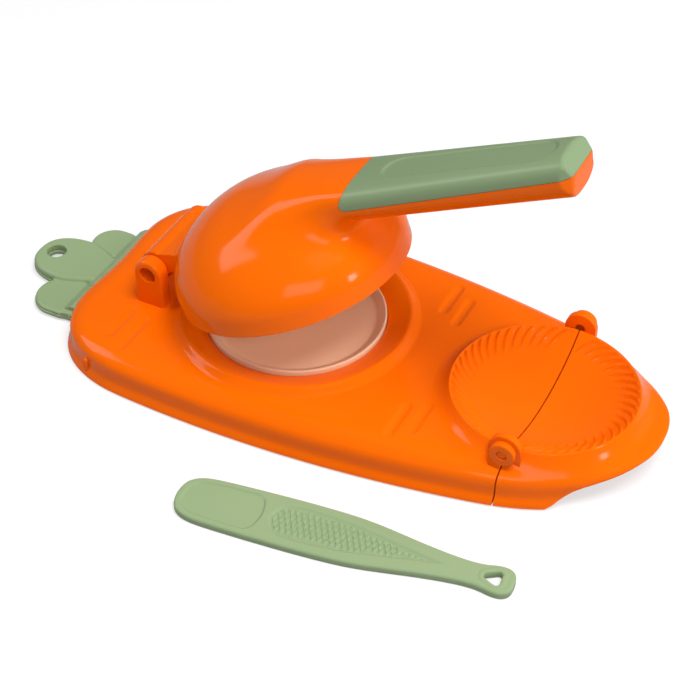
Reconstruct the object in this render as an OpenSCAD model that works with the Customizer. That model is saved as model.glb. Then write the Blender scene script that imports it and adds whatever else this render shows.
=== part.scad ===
// Carrot-shaped dough press and empanada mould on one board.
// Origin: on the table under the centre of the press plate.
// +X runs along the board to the folding mould, +Z is up. All sizes in mm.

/* [Board] */
// Height of the board's flat deck above the table
deck_z = 19.5; // [18:0.5:24]
// Half of the board's width where it is widest
board_half = 74.9; // [72:0.1:80]
// Distance along the board of its widest place
widest_x = -15; // [-20:1:-10]
// Radius of the long curve of each side
side_r = 665; // [640:5:900]
// End of the board by the leaf
tail_x = -110.5; // [-116:0.5:-108]
// How far the middle of the leaf end dips inwards
tail_dip = 2.4; // [0:0.1:3]
// Where the leaf end starts to round
tail_round_x = -60; // [-66:1:-56]
// Tip of the folding mould end
tip_x = 194.5; // [192:0.5:200]
// Where the tip starts to round
tip_round_x = 125; // [118:1:130]
// Side wall thickness
wall = 2.4; // [2:0.1:2.8]
// Deck thickness
deck_t = 2.6; // [2.2:0.1:3]
// Gap between the table and the side wall's edge
skirt_gap = 0.8; // [0.5:0.1:1.2]
// How far the wall's foot flares out
foot_flare = 2.4; // [1.5:0.1:3]
// Width of the rounded shoulder
shoulder_w = 13; // [10:0.5:14]
// Height of the rounded shoulder
shoulder_h = 7.5; // [6:0.5:8]
// Bottom of the underside ribs above the table
rib_z = 3; // [2:0.5:4]

/* [Press plate] */
// Radius of the lower plate
plate_r = 45.7; // [44:0.1:47]
// Height of the lower plate's rim above the deck
plate_rim_h = 1.7; // [1:0.1:2.5]
// Depth of the lower plate's face below the deck
plate_dip = 1.2; // [0.5:0.1:2]
// Lower plate thickness
plate_t = 2.4; // [2:0.1:3]
// Gap round the lower plate
plate_gap = 0.5; // [0.3:0.1:0.8]
// Radius of the raised ring's crest
crest_r = 57.8; // [56:0.1:59]
// Height of the raised ring above the deck
crest_h = 3.4; // [2:0.1:4.5]
// Radius where the raised ring meets the deck
ring_foot_r = 63.5; // [62:0.1:65]

/* [Lid] */
// Distance along the board of the lid's hinge
hinge_x = -70.2; // [-72:0.1:-69]
// Height of the lid's hinge above the deck
hinge_h = 18.8; // [17:0.1:21]
// How far open the lid stands
lid_open = 19.2; // [0:0.1:40]
// Radius of the dome's rim
dome_r = 59.7; // [58:0.1:61]
// Height of the closed dome's rim above the deck
dome_rim_h = 6.4; // [5:0.1:8]
// Height of the dome's upright lip
dome_lip = 7.9; // [6:0.1:9]
// Height of the dome above its lip
dome_rise = 40; // [36:0.5:44]
// Shell thickness of the dome and handle
shell_t = 2.4; // [2:0.1:2.8]
// Half gap between the two hinge ears
ear_in = 19.4; // [16:0.1:24]
// Thickness of each hinge ear
ear_t = 8; // [6:0.5:9]
// Radius of the ear's round top
ear_r = 8; // [7:0.1:9]
// Hinge pin radius
pin_r = 4.45; // [3.5:0.05:5]
// Gap between the upper press plate's edge and the lower plate's edge
ram_gap = 3.3; // [3.1:0.1:5]
// Gap between the two press plates when closed
dough_t = 1.8; // [1.2:0.1:2.5]

/* [Handle] */
// Half of the handle's width at mid length
grip_half = 17.2; // [15:0.1:19]
// Height of the handle's parting line above the deck at mid length
grip_h = 55.4; // [53:0.1:58]
// Height of the green cap at mid length
cap_h = 9.4; // [8:0.1:11]
// Height of the handle's lower shell at mid length
under_h = 10.9; // [9.5:0.1:12]
// End of the handle
grip_end_x = 168; // [160:0.5:176]
// Start of the green cap at the parting line
cap_x = 50.5; // [49:0.5:53]

/* [Mould] */
// Distance along the board of the mould's seam
seam_x = 134.2; // [132:0.1:137]
// Gap between the two halves at the seam
seam_gap = 0.4; // [0.3:0.05:0.8]
// Radius of the mould ring's crest
mould_r = 45; // [43:0.1:46]
// Height of the mould ring above the deck
mould_h = 6.5; // [5:0.1:6.6]
// Radius of the smooth bowl
bowl_r = 38; // [36:0.1:39]
// Height of the bowl's edge above the deck
bowl_edge_h = 2.4; // [1.5:0.1:3]
// Depth of the bowl under its edge
bowl_depth = 8; // [6:0.5:10]
// Height of the mould's hinge above the deck
fold_h = 7.2; // [7:0.1:8]
// Radius of the mould's hinge pins
fold_pin_r = 2.5; // [2:0.05:3]
// Number of crimping teeth in each half
teeth = 22; // [16:1:24]

/* [Leaf] */
// Far end of the leaf
leaf_end_x = -158.5; // [-162:0.5:-154]
// Half width of the middle lobe
lobe_half = 17.2; // [16:0.1:18]
// Half width of the middle lobe at its root
lobe_root = 11; // [9:0.5:14]
// Radius of the side lobes
side_lobe_r = 12; // [10:0.1:13]
// How far the side lobes stand off the board's end
side_lobe_out = 16.5; // [14:0.5:18]
// Distance of the side lobes from the hanging hole's line
side_lobe_y = 25; // [22:0.5:27]
// Top of the middle lobe above the table
leaf_z = 7.5; // [7:0.1:9]
// Top of the side lobes above the table
side_lobe_z = 5.4; // [5.2:0.1:6]
// Top of the leaf's ramp against the board
ramp_z = 11.5; // [10:0.1:12]
// Underside of the leaf above the table
leaf_low_z = 1; // [0.6:0.1:1.4]
// Height of the joint between the leaf's two layers
leaf_split_z = 3.6; // [3.2:0.1:4]
// Radius of the hanging hole
hang_r = 5.25; // [4:0.05:6]

/* [Spatula] */
// Length of the spatula
spatula_l = 162; // [150:1:170]
// Half of the blade's width
blade_half = 14.6; // [13:0.1:16]
// Thickness of the spatula
spatula_t = 4; // [3:0.1:5]
// Where the spatula lies in front of the board
spatula_y = -121.5; // [-130:0.5:-118]
// Direction in which the spatula points
spatula_turn = 6.9; // [0:0.1:10]

/* [Feet and screws] */
// Radius of the rubber feet
foot_r = 8; // [6:0.5:9]
// Thickness of the rubber feet
foot_t = 1.8; // [1.4:0.1:2.4]
// Radius of the screws' shanks
screw_r = 1.45; // [1.2:0.05:1.6]
// Radius of the screws' heads
head_r = 3.1; // [2.6:0.1:3.4]
// Height of the screws' heads
head_t = 1.8; // [1.4:0.1:2]
// Clearance of a turning pin in its bore
run_fit = 0.08; // [0.03:0.01:0.1]
// Clearance of a fixed pin or screw in its hole
set_fit = 0.05; // [0.02:0.01:0.08]

/* [Hidden] */
$fn = 96;
orange = [1, 0.38, 0.02];
sage = [0.56, 0.66, 0.5];
cream = [0.96, 0.87, 0.79];
steel = [0.75, 0.75, 0.76];
rubber = [0.25, 0.25, 0.25];
far = 400;

// Board outline: a long side curve, a square-shouldered leaf end and a round tip.
dip_half = 42;
tail_bow = 2.2;
tail_square = 4.5;
tip_bow = 2.4;
end_steps = 14;
side_steps = 10;
function side_w(x) = board_half - pow(x - widest_x, 2) / (2 * side_r);
function tail_in(y) = tail_dip * pow(cos(90 * min(1, y / dip_half)), 2);
function tail_pt(a, d) = let (x = tail_round_x - (tail_round_x - tail_x - d) * pow(cos(a), 2 / tail_bow),
    y = (side_w(x) - d) * pow(sin(a), 2 / tail_square))
    [x + tail_in(y), y];
function tip_pt(a, d) = let (x = tip_round_x + (tip_x - tip_round_x - d) * pow(cos(a), 2 / tip_bow))
    [x, (side_w(x) - d) * pow(sin(a), 2 / tip_bow)];
function half_outline(d) = concat(
    [for (i = [0:end_steps]) tail_pt(90 * pow(i / end_steps, 2), d)],
    [for (i = [1:side_steps]) let (x = tail_round_x + (tip_round_x - tail_round_x) * i / side_steps)
        [x, side_w(x) - d]],
    [for (i = [1:end_steps]) tip_pt(90 * pow(1 - i / end_steps, 1.4), d)]);
function outline(d) = let (h = half_outline(d), n = len(h)) concat(
    [for (p = h) [p[0], -p[1]]], [for (i = [n - 2:-1:1]) h[i]]);

// Solid skinned over a stack of rings with the same number of points.
module loft(rings) {
    n = len(rings[0]);
    m = len(rings);
    polyhedron([for (r = rings) each r],
        concat([[for (i = [0:n - 1]) i]], [[for (i = [n - 1:-1:0]) (m - 1) * n + i]],
        [for (k = [0:m - 2], i = [0:n - 1]) [k * n + i, (k + 1) * n + i, (k + 1) * n + (i + 1) % n]],
        [for (k = [0:m - 2], i = [0:n - 1]) [k * n + i, (k + 1) * n + (i + 1) % n, k * n + (i + 1) % n]]));
}

// Side wall profile: height above the table and inset from the outline.
flare_h = 5.5;
wall_profile = [[skirt_gap, -foot_flare], [skirt_gap + 1.8, -0.8 * foot_flare],
    [skirt_gap + 0.75 * flare_h, -0.2 * foot_flare], [skirt_gap + flare_h + 1, 0]];
shoulder_steps = 6;
// Finger lift: the tip's skirt rises from the table in one sweep, and the shoulder thins to a lip there.
lift_x = 156;
lift_curve = [[0, 0], [6, 4.5], [10, 8], [14, 10.2], [20, 11.9], [28, 13.9], [34, 15.7], [39, 16.4]];
lip_t = 0.6;
function lip_share(x) =
    min(1, (deck_z - skirt_gap - lookup(x - lift_x, lift_curve) - lip_t) / shoulder_h);
function ring_at(z, d) = [for (p = outline(d)) [p[0], p[1], z]];
function shoulder_ring(a, out_t, top_t) = [for (p = outline(shoulder_w * (1 - cos(a)) + out_t * cos(a)))
    let (k = lip_share(p[0])) [p[0], p[1], deck_z - top_t - k * (shoulder_h - top_t) * (1 - sin(a))]];
function shoulder(out_t, top_t) = [for (i = [0:shoulder_steps])
    shoulder_ring(90 * i / shoulder_steps, out_t, top_t)];
module board_outer() {
    loft(concat([for (p = wall_profile) ring_at(p[0], p[1])], shoulder(0, 0)));
}
module board_inner() {
    low = [[skirt_gap - 1, wall - foot_flare], [skirt_gap + 1.8, wall - 0.8 * foot_flare],
        [skirt_gap + flare_h + 1, wall]];
    loft(concat([for (p = low) ring_at(p[0], p[1])], shoulder(wall, deck_t)));
}

// Everything left (side = -1) or right (side = 1) of the plane x = at.
module half_space(at, side) {
    translate([side > 0 ? at : at - far, -far / 2, -far / 2]) cube(far);
}

// Press station: well for the plate, sloping moat, crest and outer flank.
well_r = plate_r + plate_gap;
seat_z = deck_z - plate_dip - plate_t;
seat_t = 2.4;
moat_z = deck_z - 0.6;
crest_z = deck_z + crest_h;
crest_land = 0.7;
module press_mass(t) {
    rotate_extrude() polygon([[0, skirt_gap + 2], [ring_foot_r - t, skirt_gap + 2], [ring_foot_r - t, deck_z - t],
        [ring_foot_r - 1.6 - t / 2, deck_z + 0.4 - t], [crest_r + crest_land - t / 2, crest_z - 0.3 - t],
        [crest_r - t / 2, crest_z - t], [0, crest_z - t]]);
}
module press_cavity(t) {
    rotate_extrude() polygon([[0, seat_z - t], [well_r + t, seat_z - t], [well_r + t, moat_z - t],
        [crest_r - crest_land + t / 2, crest_z - t], [crest_r - crest_land + t / 2, crest_z + 30],
        [0, crest_z + 30]]);
}

// Mould ring and bowl, turned about the middle of the seam.
mould_land = 0.6;
mould_crest_z = deck_z + mould_h;
mould_foot_r = mould_r + 8;
bowl_edge_z = deck_z + bowl_edge_h;
bowl_ball_r = (bowl_r * bowl_r + bowl_depth * bowl_depth) / (2 * bowl_depth);
bowl_low_z = bowl_edge_z - bowl_depth;
module mould_mass(t) {
    translate([seam_x, 0, 0]) rotate_extrude() polygon([[0, skirt_gap + 2], [mould_foot_r - t, skirt_gap + 2],
        [mould_foot_r - t, deck_z - t], [mould_foot_r - 3 - t, deck_z + 0.8 - t],
        [mould_r + 2 - t / 2, deck_z + mould_h * 0.6 - t],
        [mould_r + mould_land - t / 2, mould_crest_z - t], [0, mould_crest_z - t]]);
}
function bowl_arc(t) = let (edge = asin(bowl_r / bowl_ball_r))
    [for (i = [0:10]) let (a = edge * i / 10)
        [(bowl_ball_r + t) * sin(a), bowl_edge_z - bowl_depth + bowl_ball_r - (bowl_ball_r + t) * cos(a)]];
module mould_cavity(t) {
    translate([seam_x, 0, 0]) rotate_extrude() polygon(concat(bowl_arc(t),
        [[mould_r - mould_land + t / 3, mould_crest_z - 0.5 - t], [mould_r - mould_land + t / 3, mould_crest_z + 30],
        [0, mould_crest_z + 30]]));
}

// Crimping teeth: slanted bars set into the bevel between bowl and crest.
tooth_w = 1.3;
tooth_sink = 1.2;
tooth_rise = 0.55;
bevel_w = mould_r - mould_land - bowl_r;
bevel_up = mould_h - 0.5 - bowl_edge_h;
bevel_turn = atan(bevel_up / bevel_w);
tooth_l = (bevel_w - 0.6) * sqrt(2);
tooth_span = 158;
module tooth_ring(side) {
    translate([seam_x, 0, 0]) for (i = [0:teeth - 1])
        rotate([0, 0, (side > 0 ? 0 : 180) - tooth_span / 2 + tooth_span * i / (teeth - 1)])
            translate([bowl_r + bevel_w / 2 - 0.2, 0, bowl_edge_z + bevel_up / 2 - 0.1])
                rotate([0, -bevel_turn, 0]) rotate([0, 0, -45])
                    translate([-tooth_l / 2, -tooth_w / 2, -tooth_sink])
                        cube([tooth_l, tooth_w, tooth_sink + tooth_rise]);
}

// Mould hinge: the board's outer ears hold the tip's inner ears.
fold_z = deck_z + fold_h;
inner_ear_y = mould_r + 1;
inner_ear_t = 3.5;
outer_ear_y = inner_ear_y + inner_ear_t + 0.4;
outer_ear_t = 3.5;
outer_ear_r = fold_h - 0.9;
inner_ear_r = outer_ear_r + 1.7;
ear_gap = 0.4;
// Flat plate standing in the XZ plane between |y| = y0 and y0 + t on one side.
module upright(side, y0, t) {
    translate([0, side > 0 ? y0 + t : -y0, 0]) rotate([90, 0, 0]) linear_extrude(t) children();
}
module fold_disc(side, r, y0, t) {
    upright(side, y0, t) translate([seam_x, fold_z]) circle(r);
}
module outer_ear(side) {
    fold_disc(side, outer_ear_r, outer_ear_y, outer_ear_t);
    upright(side, outer_ear_y, outer_ear_t)
        translate([seam_x - outer_ear_r, deck_z - 2.5]) square([outer_ear_r - seam_gap / 2, fold_h + 2.5]);
}
module inner_ear(side) {
    fold_disc(side, inner_ear_r, inner_ear_y, inner_ear_t);
    upright(side, inner_ear_y, inner_ear_t)
        translate([seam_x + seam_gap / 2, deck_z - 2]) square([inner_ear_r - seam_gap / 2, fold_h + 2]);
}

// Underside: ribs, screw posts and foot posts.
rib_t = 2;
rib_xs = [-82.5, 76];
screw_ring_r = 30;
screw_angles = [90, 210, 330];
boss_r = screw_r + 2.5;
boss_l = 5;
cup_r = boss_r + 2.4;
cup_floor = 2.3;
cup_z = seat_z - boss_l - cup_floor;
tail_foot_x = -72;
tail_foot_y = 54;
mould_foot_x = 112;
mould_foot_y = 48;
foot_post_r = foot_r + 0.8;
foot_stem_r = 2.5;
foot_stem_h = 3.5;
centre_foot_r = foot_r + 6;
tongue_half = 30;
tongue_t = 3;
tongue_in = 24;
tongue_z = leaf_split_z;
tongue_screw_x = tail_x + 19.5;
tongue_screw_y = 18;
tongue_post_r = screw_r + 3;
module at_plate_screws() {
    for (a = screw_angles) rotate([0, 0, a]) translate([screw_ring_r, 0, 0]) children();
}
module at_tongue_screws() {
    for (s = [-1, 1]) translate([tongue_screw_x, s * tongue_screw_y, 0]) children();
}
module tube_between(r, z0, z1) {
    translate([0, 0, z0]) cylinder(r = r, h = z1 - z0);
}
module board_stiffening() {
    for (x = rib_xs) translate([x - rib_t / 2, -far / 2, rib_z]) cube([rib_t, far, deck_z - rib_z]);
    for (s = [-1, 1]) {
        translate([tail_foot_x, s * tail_foot_y, 0]) tube_between(foot_post_r, foot_t, deck_z);
        translate([mould_foot_x, s * mould_foot_y, 0]) tube_between(foot_post_r, foot_t, deck_z);
    }
    at_plate_screws() tube_between(cup_r, cup_z, deck_z);
    at_tongue_screws() tube_between(tongue_post_r, tongue_z + tongue_t, deck_z);
    tube_between(centre_foot_r + 0.8, foot_t, deck_z);
}
module shell_void(x_from, x_to) {
    intersection() {
        union() {
            board_inner();
            press_mass(deck_t);
            mould_mass(deck_t);
        }
        translate([x_from, -far / 2, -far / 2]) cube([x_to - x_from, far, far]);
    }
}

// Grip marks: pairs of shallow grooves across the deck.
groove_w = 4;
groove_d = 0.5;
groove_marks = [[-76, -35, 20], [-66, -39, 22], [65, 36, 20], [74.5, 30, 18], [79, -36, 20], [88, -31, 18]];
module grooves() {
    for (m = groove_marks) translate([m[0], m[1], deck_z - groove_d]) linear_extrude(groove_d + 1) {
        s = m[1] < 0 ? -1 : 1;
        translate([-groove_w / 2, s > 0 ? 0 : -m[2]]) square([groove_w, m[2]]);
        circle(groove_w / 2, $fn = 32);
        translate([0, s * m[2]]) circle(groove_w / 2, $fn = 32);
    }
}

hinge_z = deck_z + hinge_h;
module lid_ear(side) {
    upright(side, ear_in, ear_t) {
        translate([hinge_x, hinge_z]) circle(ear_r);
        translate([hinge_x - ear_r, deck_z - 1]) square([2 * ear_r, hinge_h + 1]);
    }
}
module hinge_bore(r, half) {
    translate([hinge_x, half, hinge_z]) rotate([90, 0, 0]) cylinder(r = r, h = 2 * half);
}
module fold_bore(r, half) {
    translate([seam_x, half, fold_z]) rotate([90, 0, 0]) cylinder(r = r, h = 2 * half);
}

module base_board() {
    seam_left = seam_x - seam_gap / 2;
    color(orange) difference() {
        union() {
            difference() {
                intersection() {
                    union() {
                        board_outer();
                        press_mass(0);
                        mould_mass(0);
                    }
                    half_space(seam_left, -1);
                }
                difference() {
                    shell_void(-far, seam_left - wall);
                    press_cavity(seat_t);
                    mould_cavity(wall);
                    board_stiffening();
                }
                press_cavity(0);
                mould_cavity(0);
                for (s = [-1, 1]) fold_disc(s, inner_ear_r + ear_gap, inner_ear_y - ear_gap,
                    inner_ear_t + 2 * ear_gap);
            }
            intersection() {
                tooth_ring(-1);
                half_space(seam_left - 0.5, -1);
            }
            for (s = [-1, 1]) {
                outer_ear(s);
                lid_ear(s);
            }
        }
        hinge_bore(pin_r + run_fit, ear_in + ear_t + 1);
        fold_bore(fold_pin_r + run_fit, outer_ear_y + outer_ear_t + 1);
        grooves();
        at_plate_screws() {
            tube_between(boss_r + 0.2, cup_z + cup_floor, deck_z);
            tube_between(screw_r + 0.3, cup_z - 1, deck_z);
        }
        at_tongue_screws() tube_between(screw_r + set_fit, 0, deck_z - deck_t - 2);
        translate([tail_x - foot_flare - 1, -tongue_half - 0.3, tongue_z - 0.2])
            cube([foot_flare + wall + 4, 2 * tongue_half + 0.6, tongue_t + 0.4]);
        for (s = [-1, 1], x = [tail_foot_x, mould_foot_x])
            translate([x, s * (x < 0 ? tail_foot_y : mould_foot_y), 0])
                tube_between(foot_stem_r + set_fit, 0, foot_t + foot_stem_h + 0.3);
        tube_between(foot_stem_r + set_fit, 0, foot_t + foot_stem_h + 0.3);
    }
}

module finger_lift() {
    upright(1, -far / 2, far) polygon(concat([[lift_x, -5]],
        [for (p = lift_curve) [lift_x + p[0], skirt_gap + p[1]]], [[tip_x + 5, skirt_gap + 16.4], [tip_x + 5, -5]]));
}
module mould_tip() {
    seam_right = seam_x + seam_gap / 2;
    color(orange) difference() {
        union() {
            difference() {
                intersection() {
                    union() {
                        board_outer();
                        mould_mass(0);
                    }
                    half_space(seam_right, 1);
                }
                difference() {
                    shell_void(seam_right + wall, far);
                    mould_cavity(wall);
                }
                mould_cavity(0);
                finger_lift();
            }
            intersection() {
                tooth_ring(1);
                half_space(seam_right + 0.5, 1);
            }
            for (s = [-1, 1]) inner_ear(s);
        }
        for (s = [-1, 1]) fold_disc(s, outer_ear_r + ear_gap, outer_ear_y - ear_gap / 2, outer_ear_t + 2);
        fold_bore(fold_pin_r + set_fit, outer_ear_y);
    }
}

// Lid: everything on it is drawn closed and turned open about the hinge.
module lid_pose() {
    translate([hinge_x, 0, hinge_z]) rotate([0, -lid_open, 0]) translate([-hinge_x, 0, -hinge_z]) children();
}
dome_full = 1.79;
dome_rim_z = deck_z + dome_rim_h;
function dome_side(t) = [for (i = [0:24]) let (a = 90 * i / 24)
    [(dome_r - t) * pow(cos(a), 2 / dome_full), dome_rim_z + dome_lip + (dome_rise - t) * pow(sin(a), 2 / dome_full)]];
module dome(t, drop) {
    rotate_extrude() polygon(concat([[0, dome_rim_z - drop], [dome_r - t, dome_rim_z - drop]], dome_side(t)));
}

// Handle section at x: soft-cornered above and below the parting line.
grip_mid_x = 110;
grip_slope = 0.0954;
grip_taper = 0.0493;
grip_soft = 3.2;
neck_x = 56;
neck_start_x = -12;
neck_wide_x = 10;
neck_flare = 7.5;
neck_rise = 3.6;
neck_close = 26;
function neck_u(x) = max(0, (neck_x - x) / (neck_x - neck_start_x));
function neck_end(x) = x < neck_wide_x ? sqrt(1 - pow((neck_wide_x - x) / neck_close, 2)) : 1;
function grip_split(x) = deck_z + grip_h + grip_slope * (x - grip_mid_x);
function grip_w(x) = (grip_half - grip_taper * (x - grip_mid_x)
    + neck_flare * pow(neck_u(x) * (neck_x - neck_start_x) / (neck_x - neck_wide_x), 2)) * neck_end(x);
function grip_up(x) = cap_h - 0.0106 * (x - grip_mid_x) + neck_rise * sin(205 * neck_u(x));
function grip_down(x) = under_h + 0.0267 * (x - grip_mid_x) + 20 * neck_u(x);
function soft(x) = grip_soft - 1.1 * min(1, 2 * neck_u(x));
grip_points = 32;
function signed_pow(v, e) = v < 0 ? -pow(-v, e) : pow(v, e);
function grip_ring(x, t) = [for (i = [0:grip_points - 1]) let (a = 360 * (i + 0.5) / grip_points,
    n = sin(a) > 0 ? soft(x) : 2.6)
    [x, (grip_w(x) - t) * signed_pow(cos(a), 2 / n),
        grip_split(x) + ((sin(a) > 0 ? grip_up(x) : grip_down(x)) - t) * signed_pow(sin(a), 2 / n)]];
neck_steps = [for (i = [0:10]) neck_start_x + (neck_x - neck_start_x) * i / 10];
grip_steps = [for (i = [1:4]) neck_x + (grip_end_x - neck_x) * i / 4];
module grip_mass(t, from_x, to_x) {
    loft([for (x = concat([from_x], [for (s = concat(neck_steps, grip_steps)) if (s > from_x + 1 && s < to_x - 1) s],
        [to_x])) grip_ring(x, t)]);
}
// End of the handle: bevelled above, drawn in below, with cut corners.
module grip_end(t) {
    e = grip_end_x - t;
    intersection() {
        upright(1, -far / 2, far) polygon([[-far, -far], [-far, far], [e - 12, far],
            [e - 4.7 - 0.6 * t, grip_split(e) + cap_h - 0.6], [e, grip_split(e)],
            [e - 2.5, grip_split(e) - under_h], [e - 6, -far]]);
        linear_extrude(far) polygon([[-far, -far], [e - 9, -grip_w(e) - 1], [e, -grip_w(e) + 4],
            [e, grip_w(e) - 4], [e - 9, grip_w(e) + 1], [-far, far]]);
    }
}
cap_lean = 0.5;
split_gap = 0.1;
// Space above the parting line, beyond the cap's leaning front edge.
module cap_space(grow) {
    upright(1, -far / 2, far) polygon([[cap_x - grow, grip_split(cap_x) - grow],
        [cap_x - grow + 30 * cap_lean, grip_split(cap_x) + 30], [far, grip_split(far) + 30],
        [far, grip_split(far) - grow]]);
}
grip_screw_xs = [82, 142];
post_r = screw_r + 2.4;
post_drop = 2;
screw_bite = 2;
ring_wall = 2.2;
ram_r = plate_r - ram_gap;
ring_out_r = ram_r - 1.6;
tab_half = ear_in - 0.4;
tab_r = ear_r + 0.5;
function grip_base(x) = grip_split(x) - grip_down(x);
function cap_roof(x) = grip_split(x) + grip_up(x);
ram_low_z = deck_z - plate_dip + dough_t;
ram_t = 2.4;
module lid_tab() {
    upright(1, -tab_half, 2 * tab_half) {
        translate([hinge_x, hinge_z]) circle(tab_r);
        translate([hinge_x, hinge_z - 4]) square([dome_r - 40, tab_r + 2.5]);
    }
}
module lid_shell() {
    color(orange) lid_pose() difference() {
        union() {
            difference() {
                union() {
                    dome(0, 0);
                    intersection() {
                        grip_mass(0, neck_start_x, grip_end_x);
                        grip_end(0);
                    }
                    lid_tab();
                }
                dome(shell_t, 1);
                grip_mass(shell_t, neck_start_x + 6, cap_x - 2);
                cap_space(split_gap);
                intersection() {
                    grip_mass(shell_t, cap_x + 6, grip_end_x - shell_t);
                    grip_end(shell_t + 0.8);
                }
            }
            intersection() {
                dome(shell_t / 2, 0);
                difference() {
                    tube_between(ring_out_r, ram_low_z + ram_t, far);
                    tube_between(ring_out_r - ring_wall, 0, far);
                }
            }
            difference() {
                tube_between(ring_out_r, ram_low_z + ram_t, dome_rim_z + 1);
                tube_between(ring_out_r - ring_wall, 0, far);
            }
            for (x = grip_screw_xs) translate([x, 0, 0])
                tube_between(post_r + 0.6, grip_base(x) + 1, grip_split(x) - post_drop);
        }
        hinge_bore(pin_r + set_fit, tab_half + 1);
        for (x = grip_screw_xs) translate([x, 0, 0]) {
            tube_between(screw_r + 0.3, 0, far);
            tube_between(head_r + 0.3, 0, grip_base(x) + head_t + 0.8);
        }
    }
}

panel_half = 9.1;
panel_d = 0.6;
panel_from_x = 66;
panel_to_x = 156;
module cap_panel() {
    mid = (panel_from_x + panel_to_x) / 2;
    half = (panel_to_x - panel_from_x) / 2 - panel_half;
    translate([mid, 0, cap_roof(mid) - panel_d]) rotate([0, -atan(grip_slope - 0.0106), 0])
        linear_extrude(10) {
            square([2 * half, 2 * panel_half], center = true);
            for (s = [-1, 1]) translate([s * half, 0]) circle(panel_half);
        }
}
module handle_cap() {
    cap_t = shell_t - 0.2;
    color(sage) lid_pose() difference() {
        union() {
            difference() {
                intersection() {
                    grip_mass(0, neck_x - 10, grip_end_x);
                    grip_end(0);
                    cap_space(0);
                }
                intersection() {
                    grip_mass(cap_t, cap_x + 4, grip_end_x - cap_t);
                    grip_end(cap_t + 0.8);
                }
            }
            for (x = grip_screw_xs) translate([x, 0, 0])
                tube_between(post_r, grip_split(x) - post_drop, cap_roof(x) - 1.5);
        }
        cap_panel();
        for (x = grip_screw_xs) translate([x, 0, 0])
            tube_between(screw_r + set_fit, 0, grip_split(x) + screw_bite + 0.5);
    }
}
module handle_cap_screws() {
    color(steel) lid_pose() for (x = grip_screw_xs) translate([x, 0, 0]) {
        seat = grip_base(x) + head_t + 0.8;
        tube_between(head_r, seat - head_t, seat);
        tube_between(screw_r, seat, grip_split(x) + screw_bite);
    }
}

module upper_press_plate() {
    color(cream) lid_pose() difference() {
        tube_between(ram_r, ram_low_z, ram_low_z + 8);
        tube_between(ring_out_r + 0.2, ram_low_z + ram_t, far);
    }
}

module lower_press_plate() {
    rim_z = deck_z + plate_rim_h;
    face_z = deck_z - plate_dip;
    color(cream) difference() {
        union() {
            rotate_extrude() polygon([[0, seat_z], [plate_r - 0.4, seat_z], [plate_r, seat_z + 0.4],
                [plate_r, rim_z - 0.7], [plate_r - 0.5, rim_z], [plate_r - 1.5, rim_z], [plate_r - 2.3, rim_z - 0.8],
                [plate_r - 4.2, face_z + 0.3], [plate_r - 6, face_z], [0, face_z]]);
            at_plate_screws() tube_between(boss_r, seat_z - boss_l, seat_z + 0.5);
        }
        at_plate_screws() tube_between(screw_r + set_fit, 0, face_z - 1);
    }
}
module press_plate_screws() {
    color(steel) at_plate_screws() {
        tube_between(head_r, cup_z - head_t, cup_z);
        tube_between(screw_r, cup_z, deck_z - plate_dip - 1.3);
    }
}

// Hinge pins: set in the moving piece, turning in the board's ears.
pin_recess = 1.5;
pin_in = 9;
module cross_pin(side, x, z, r, y0, y1) {
    translate([x, side * y0, z]) rotate([side > 0 ? -90 : 90, 0, 0]) union() {
        cylinder(r = r, h = y1 - y0 - 0.5);
        translate([0, 0, y1 - y0 - 0.5]) cylinder(r1 = r, r2 = r - 0.5, h = 0.5);
    }
}
module lid_pin(side) {
    color(orange) cross_pin(side, hinge_x, hinge_z, pin_r, pin_in, ear_in + ear_t - pin_recess);
}
module mould_pin(side) {
    color(orange) cross_pin(side, seam_x, fold_z, fold_pin_r, inner_ear_y, outer_ear_y + outer_ear_t - 0.6);
}

// Leaf: three lobes in two layers, with a tongue into the board's end.
// The lobes lie a little towards the near side of the hanging hole.
hang_x = leaf_end_x + 10;
lobe_shift = -1.2;
side_shift = -2.7;
lobe_end_l = 24.5;
lobe_bow = 2.4;
leaf_steps = 12;
side_stretch = 4;
root_half = 37;
ramp_run = 8.3;
lobe_root_x = tail_x - ramp_run + 1;
leaf_fit = 0.25;
lower_inset = 0.4;
function lobe_wide(u) = lobe_half - (lobe_half - lobe_root) * pow(u, 1.3);
lobe_wide_x = leaf_end_x + lobe_end_l;
function lobe_edge(t) = concat(
    [for (i = [0:leaf_steps]) let (a = 90 * i / leaf_steps)
        [lobe_wide_x - (lobe_end_l - t) * pow(cos(a), 2 / lobe_bow), (lobe_half - t) * pow(sin(a), 2 / lobe_bow)]],
    [for (i = [1:5]) [lobe_wide_x + (lobe_root_x - lobe_wide_x) * i / 5, lobe_wide(i / 5) - t]],
    [[tail_x + 8, lobe_root - t]]);
module middle_lobe(t) {
    edge = lobe_edge(t);
    translate([0, lobe_shift]) polygon(concat(edge,
        [for (i = [len(edge) - 1:-1:1]) [edge[i][0], -edge[i][1]]]));
}
module side_lobes(t) {
    x = tail_x - side_lobe_out;
    for (s = [-1, 1]) translate([0, side_shift + s * side_lobe_y]) {
        translate([x, 0]) circle(side_lobe_r - t);
        translate([x + side_stretch, 0]) circle(side_lobe_r - t);
        translate([x, -side_lobe_r + t]) square([side_stretch, 2 * (side_lobe_r - t)]);
    }
    translate([tail_x - ramp_run, -root_half + t]) square([ramp_run + 8, 2 * (root_half - t)]);
}
module off_board(d) {
    difference() {
        children();
        polygon(outline(-d));
    }
}
module leaf_slab(z0, z1, d) {
    translate([0, 0, z0]) linear_extrude(z1 - z0) off_board(d) children();
}
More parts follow.
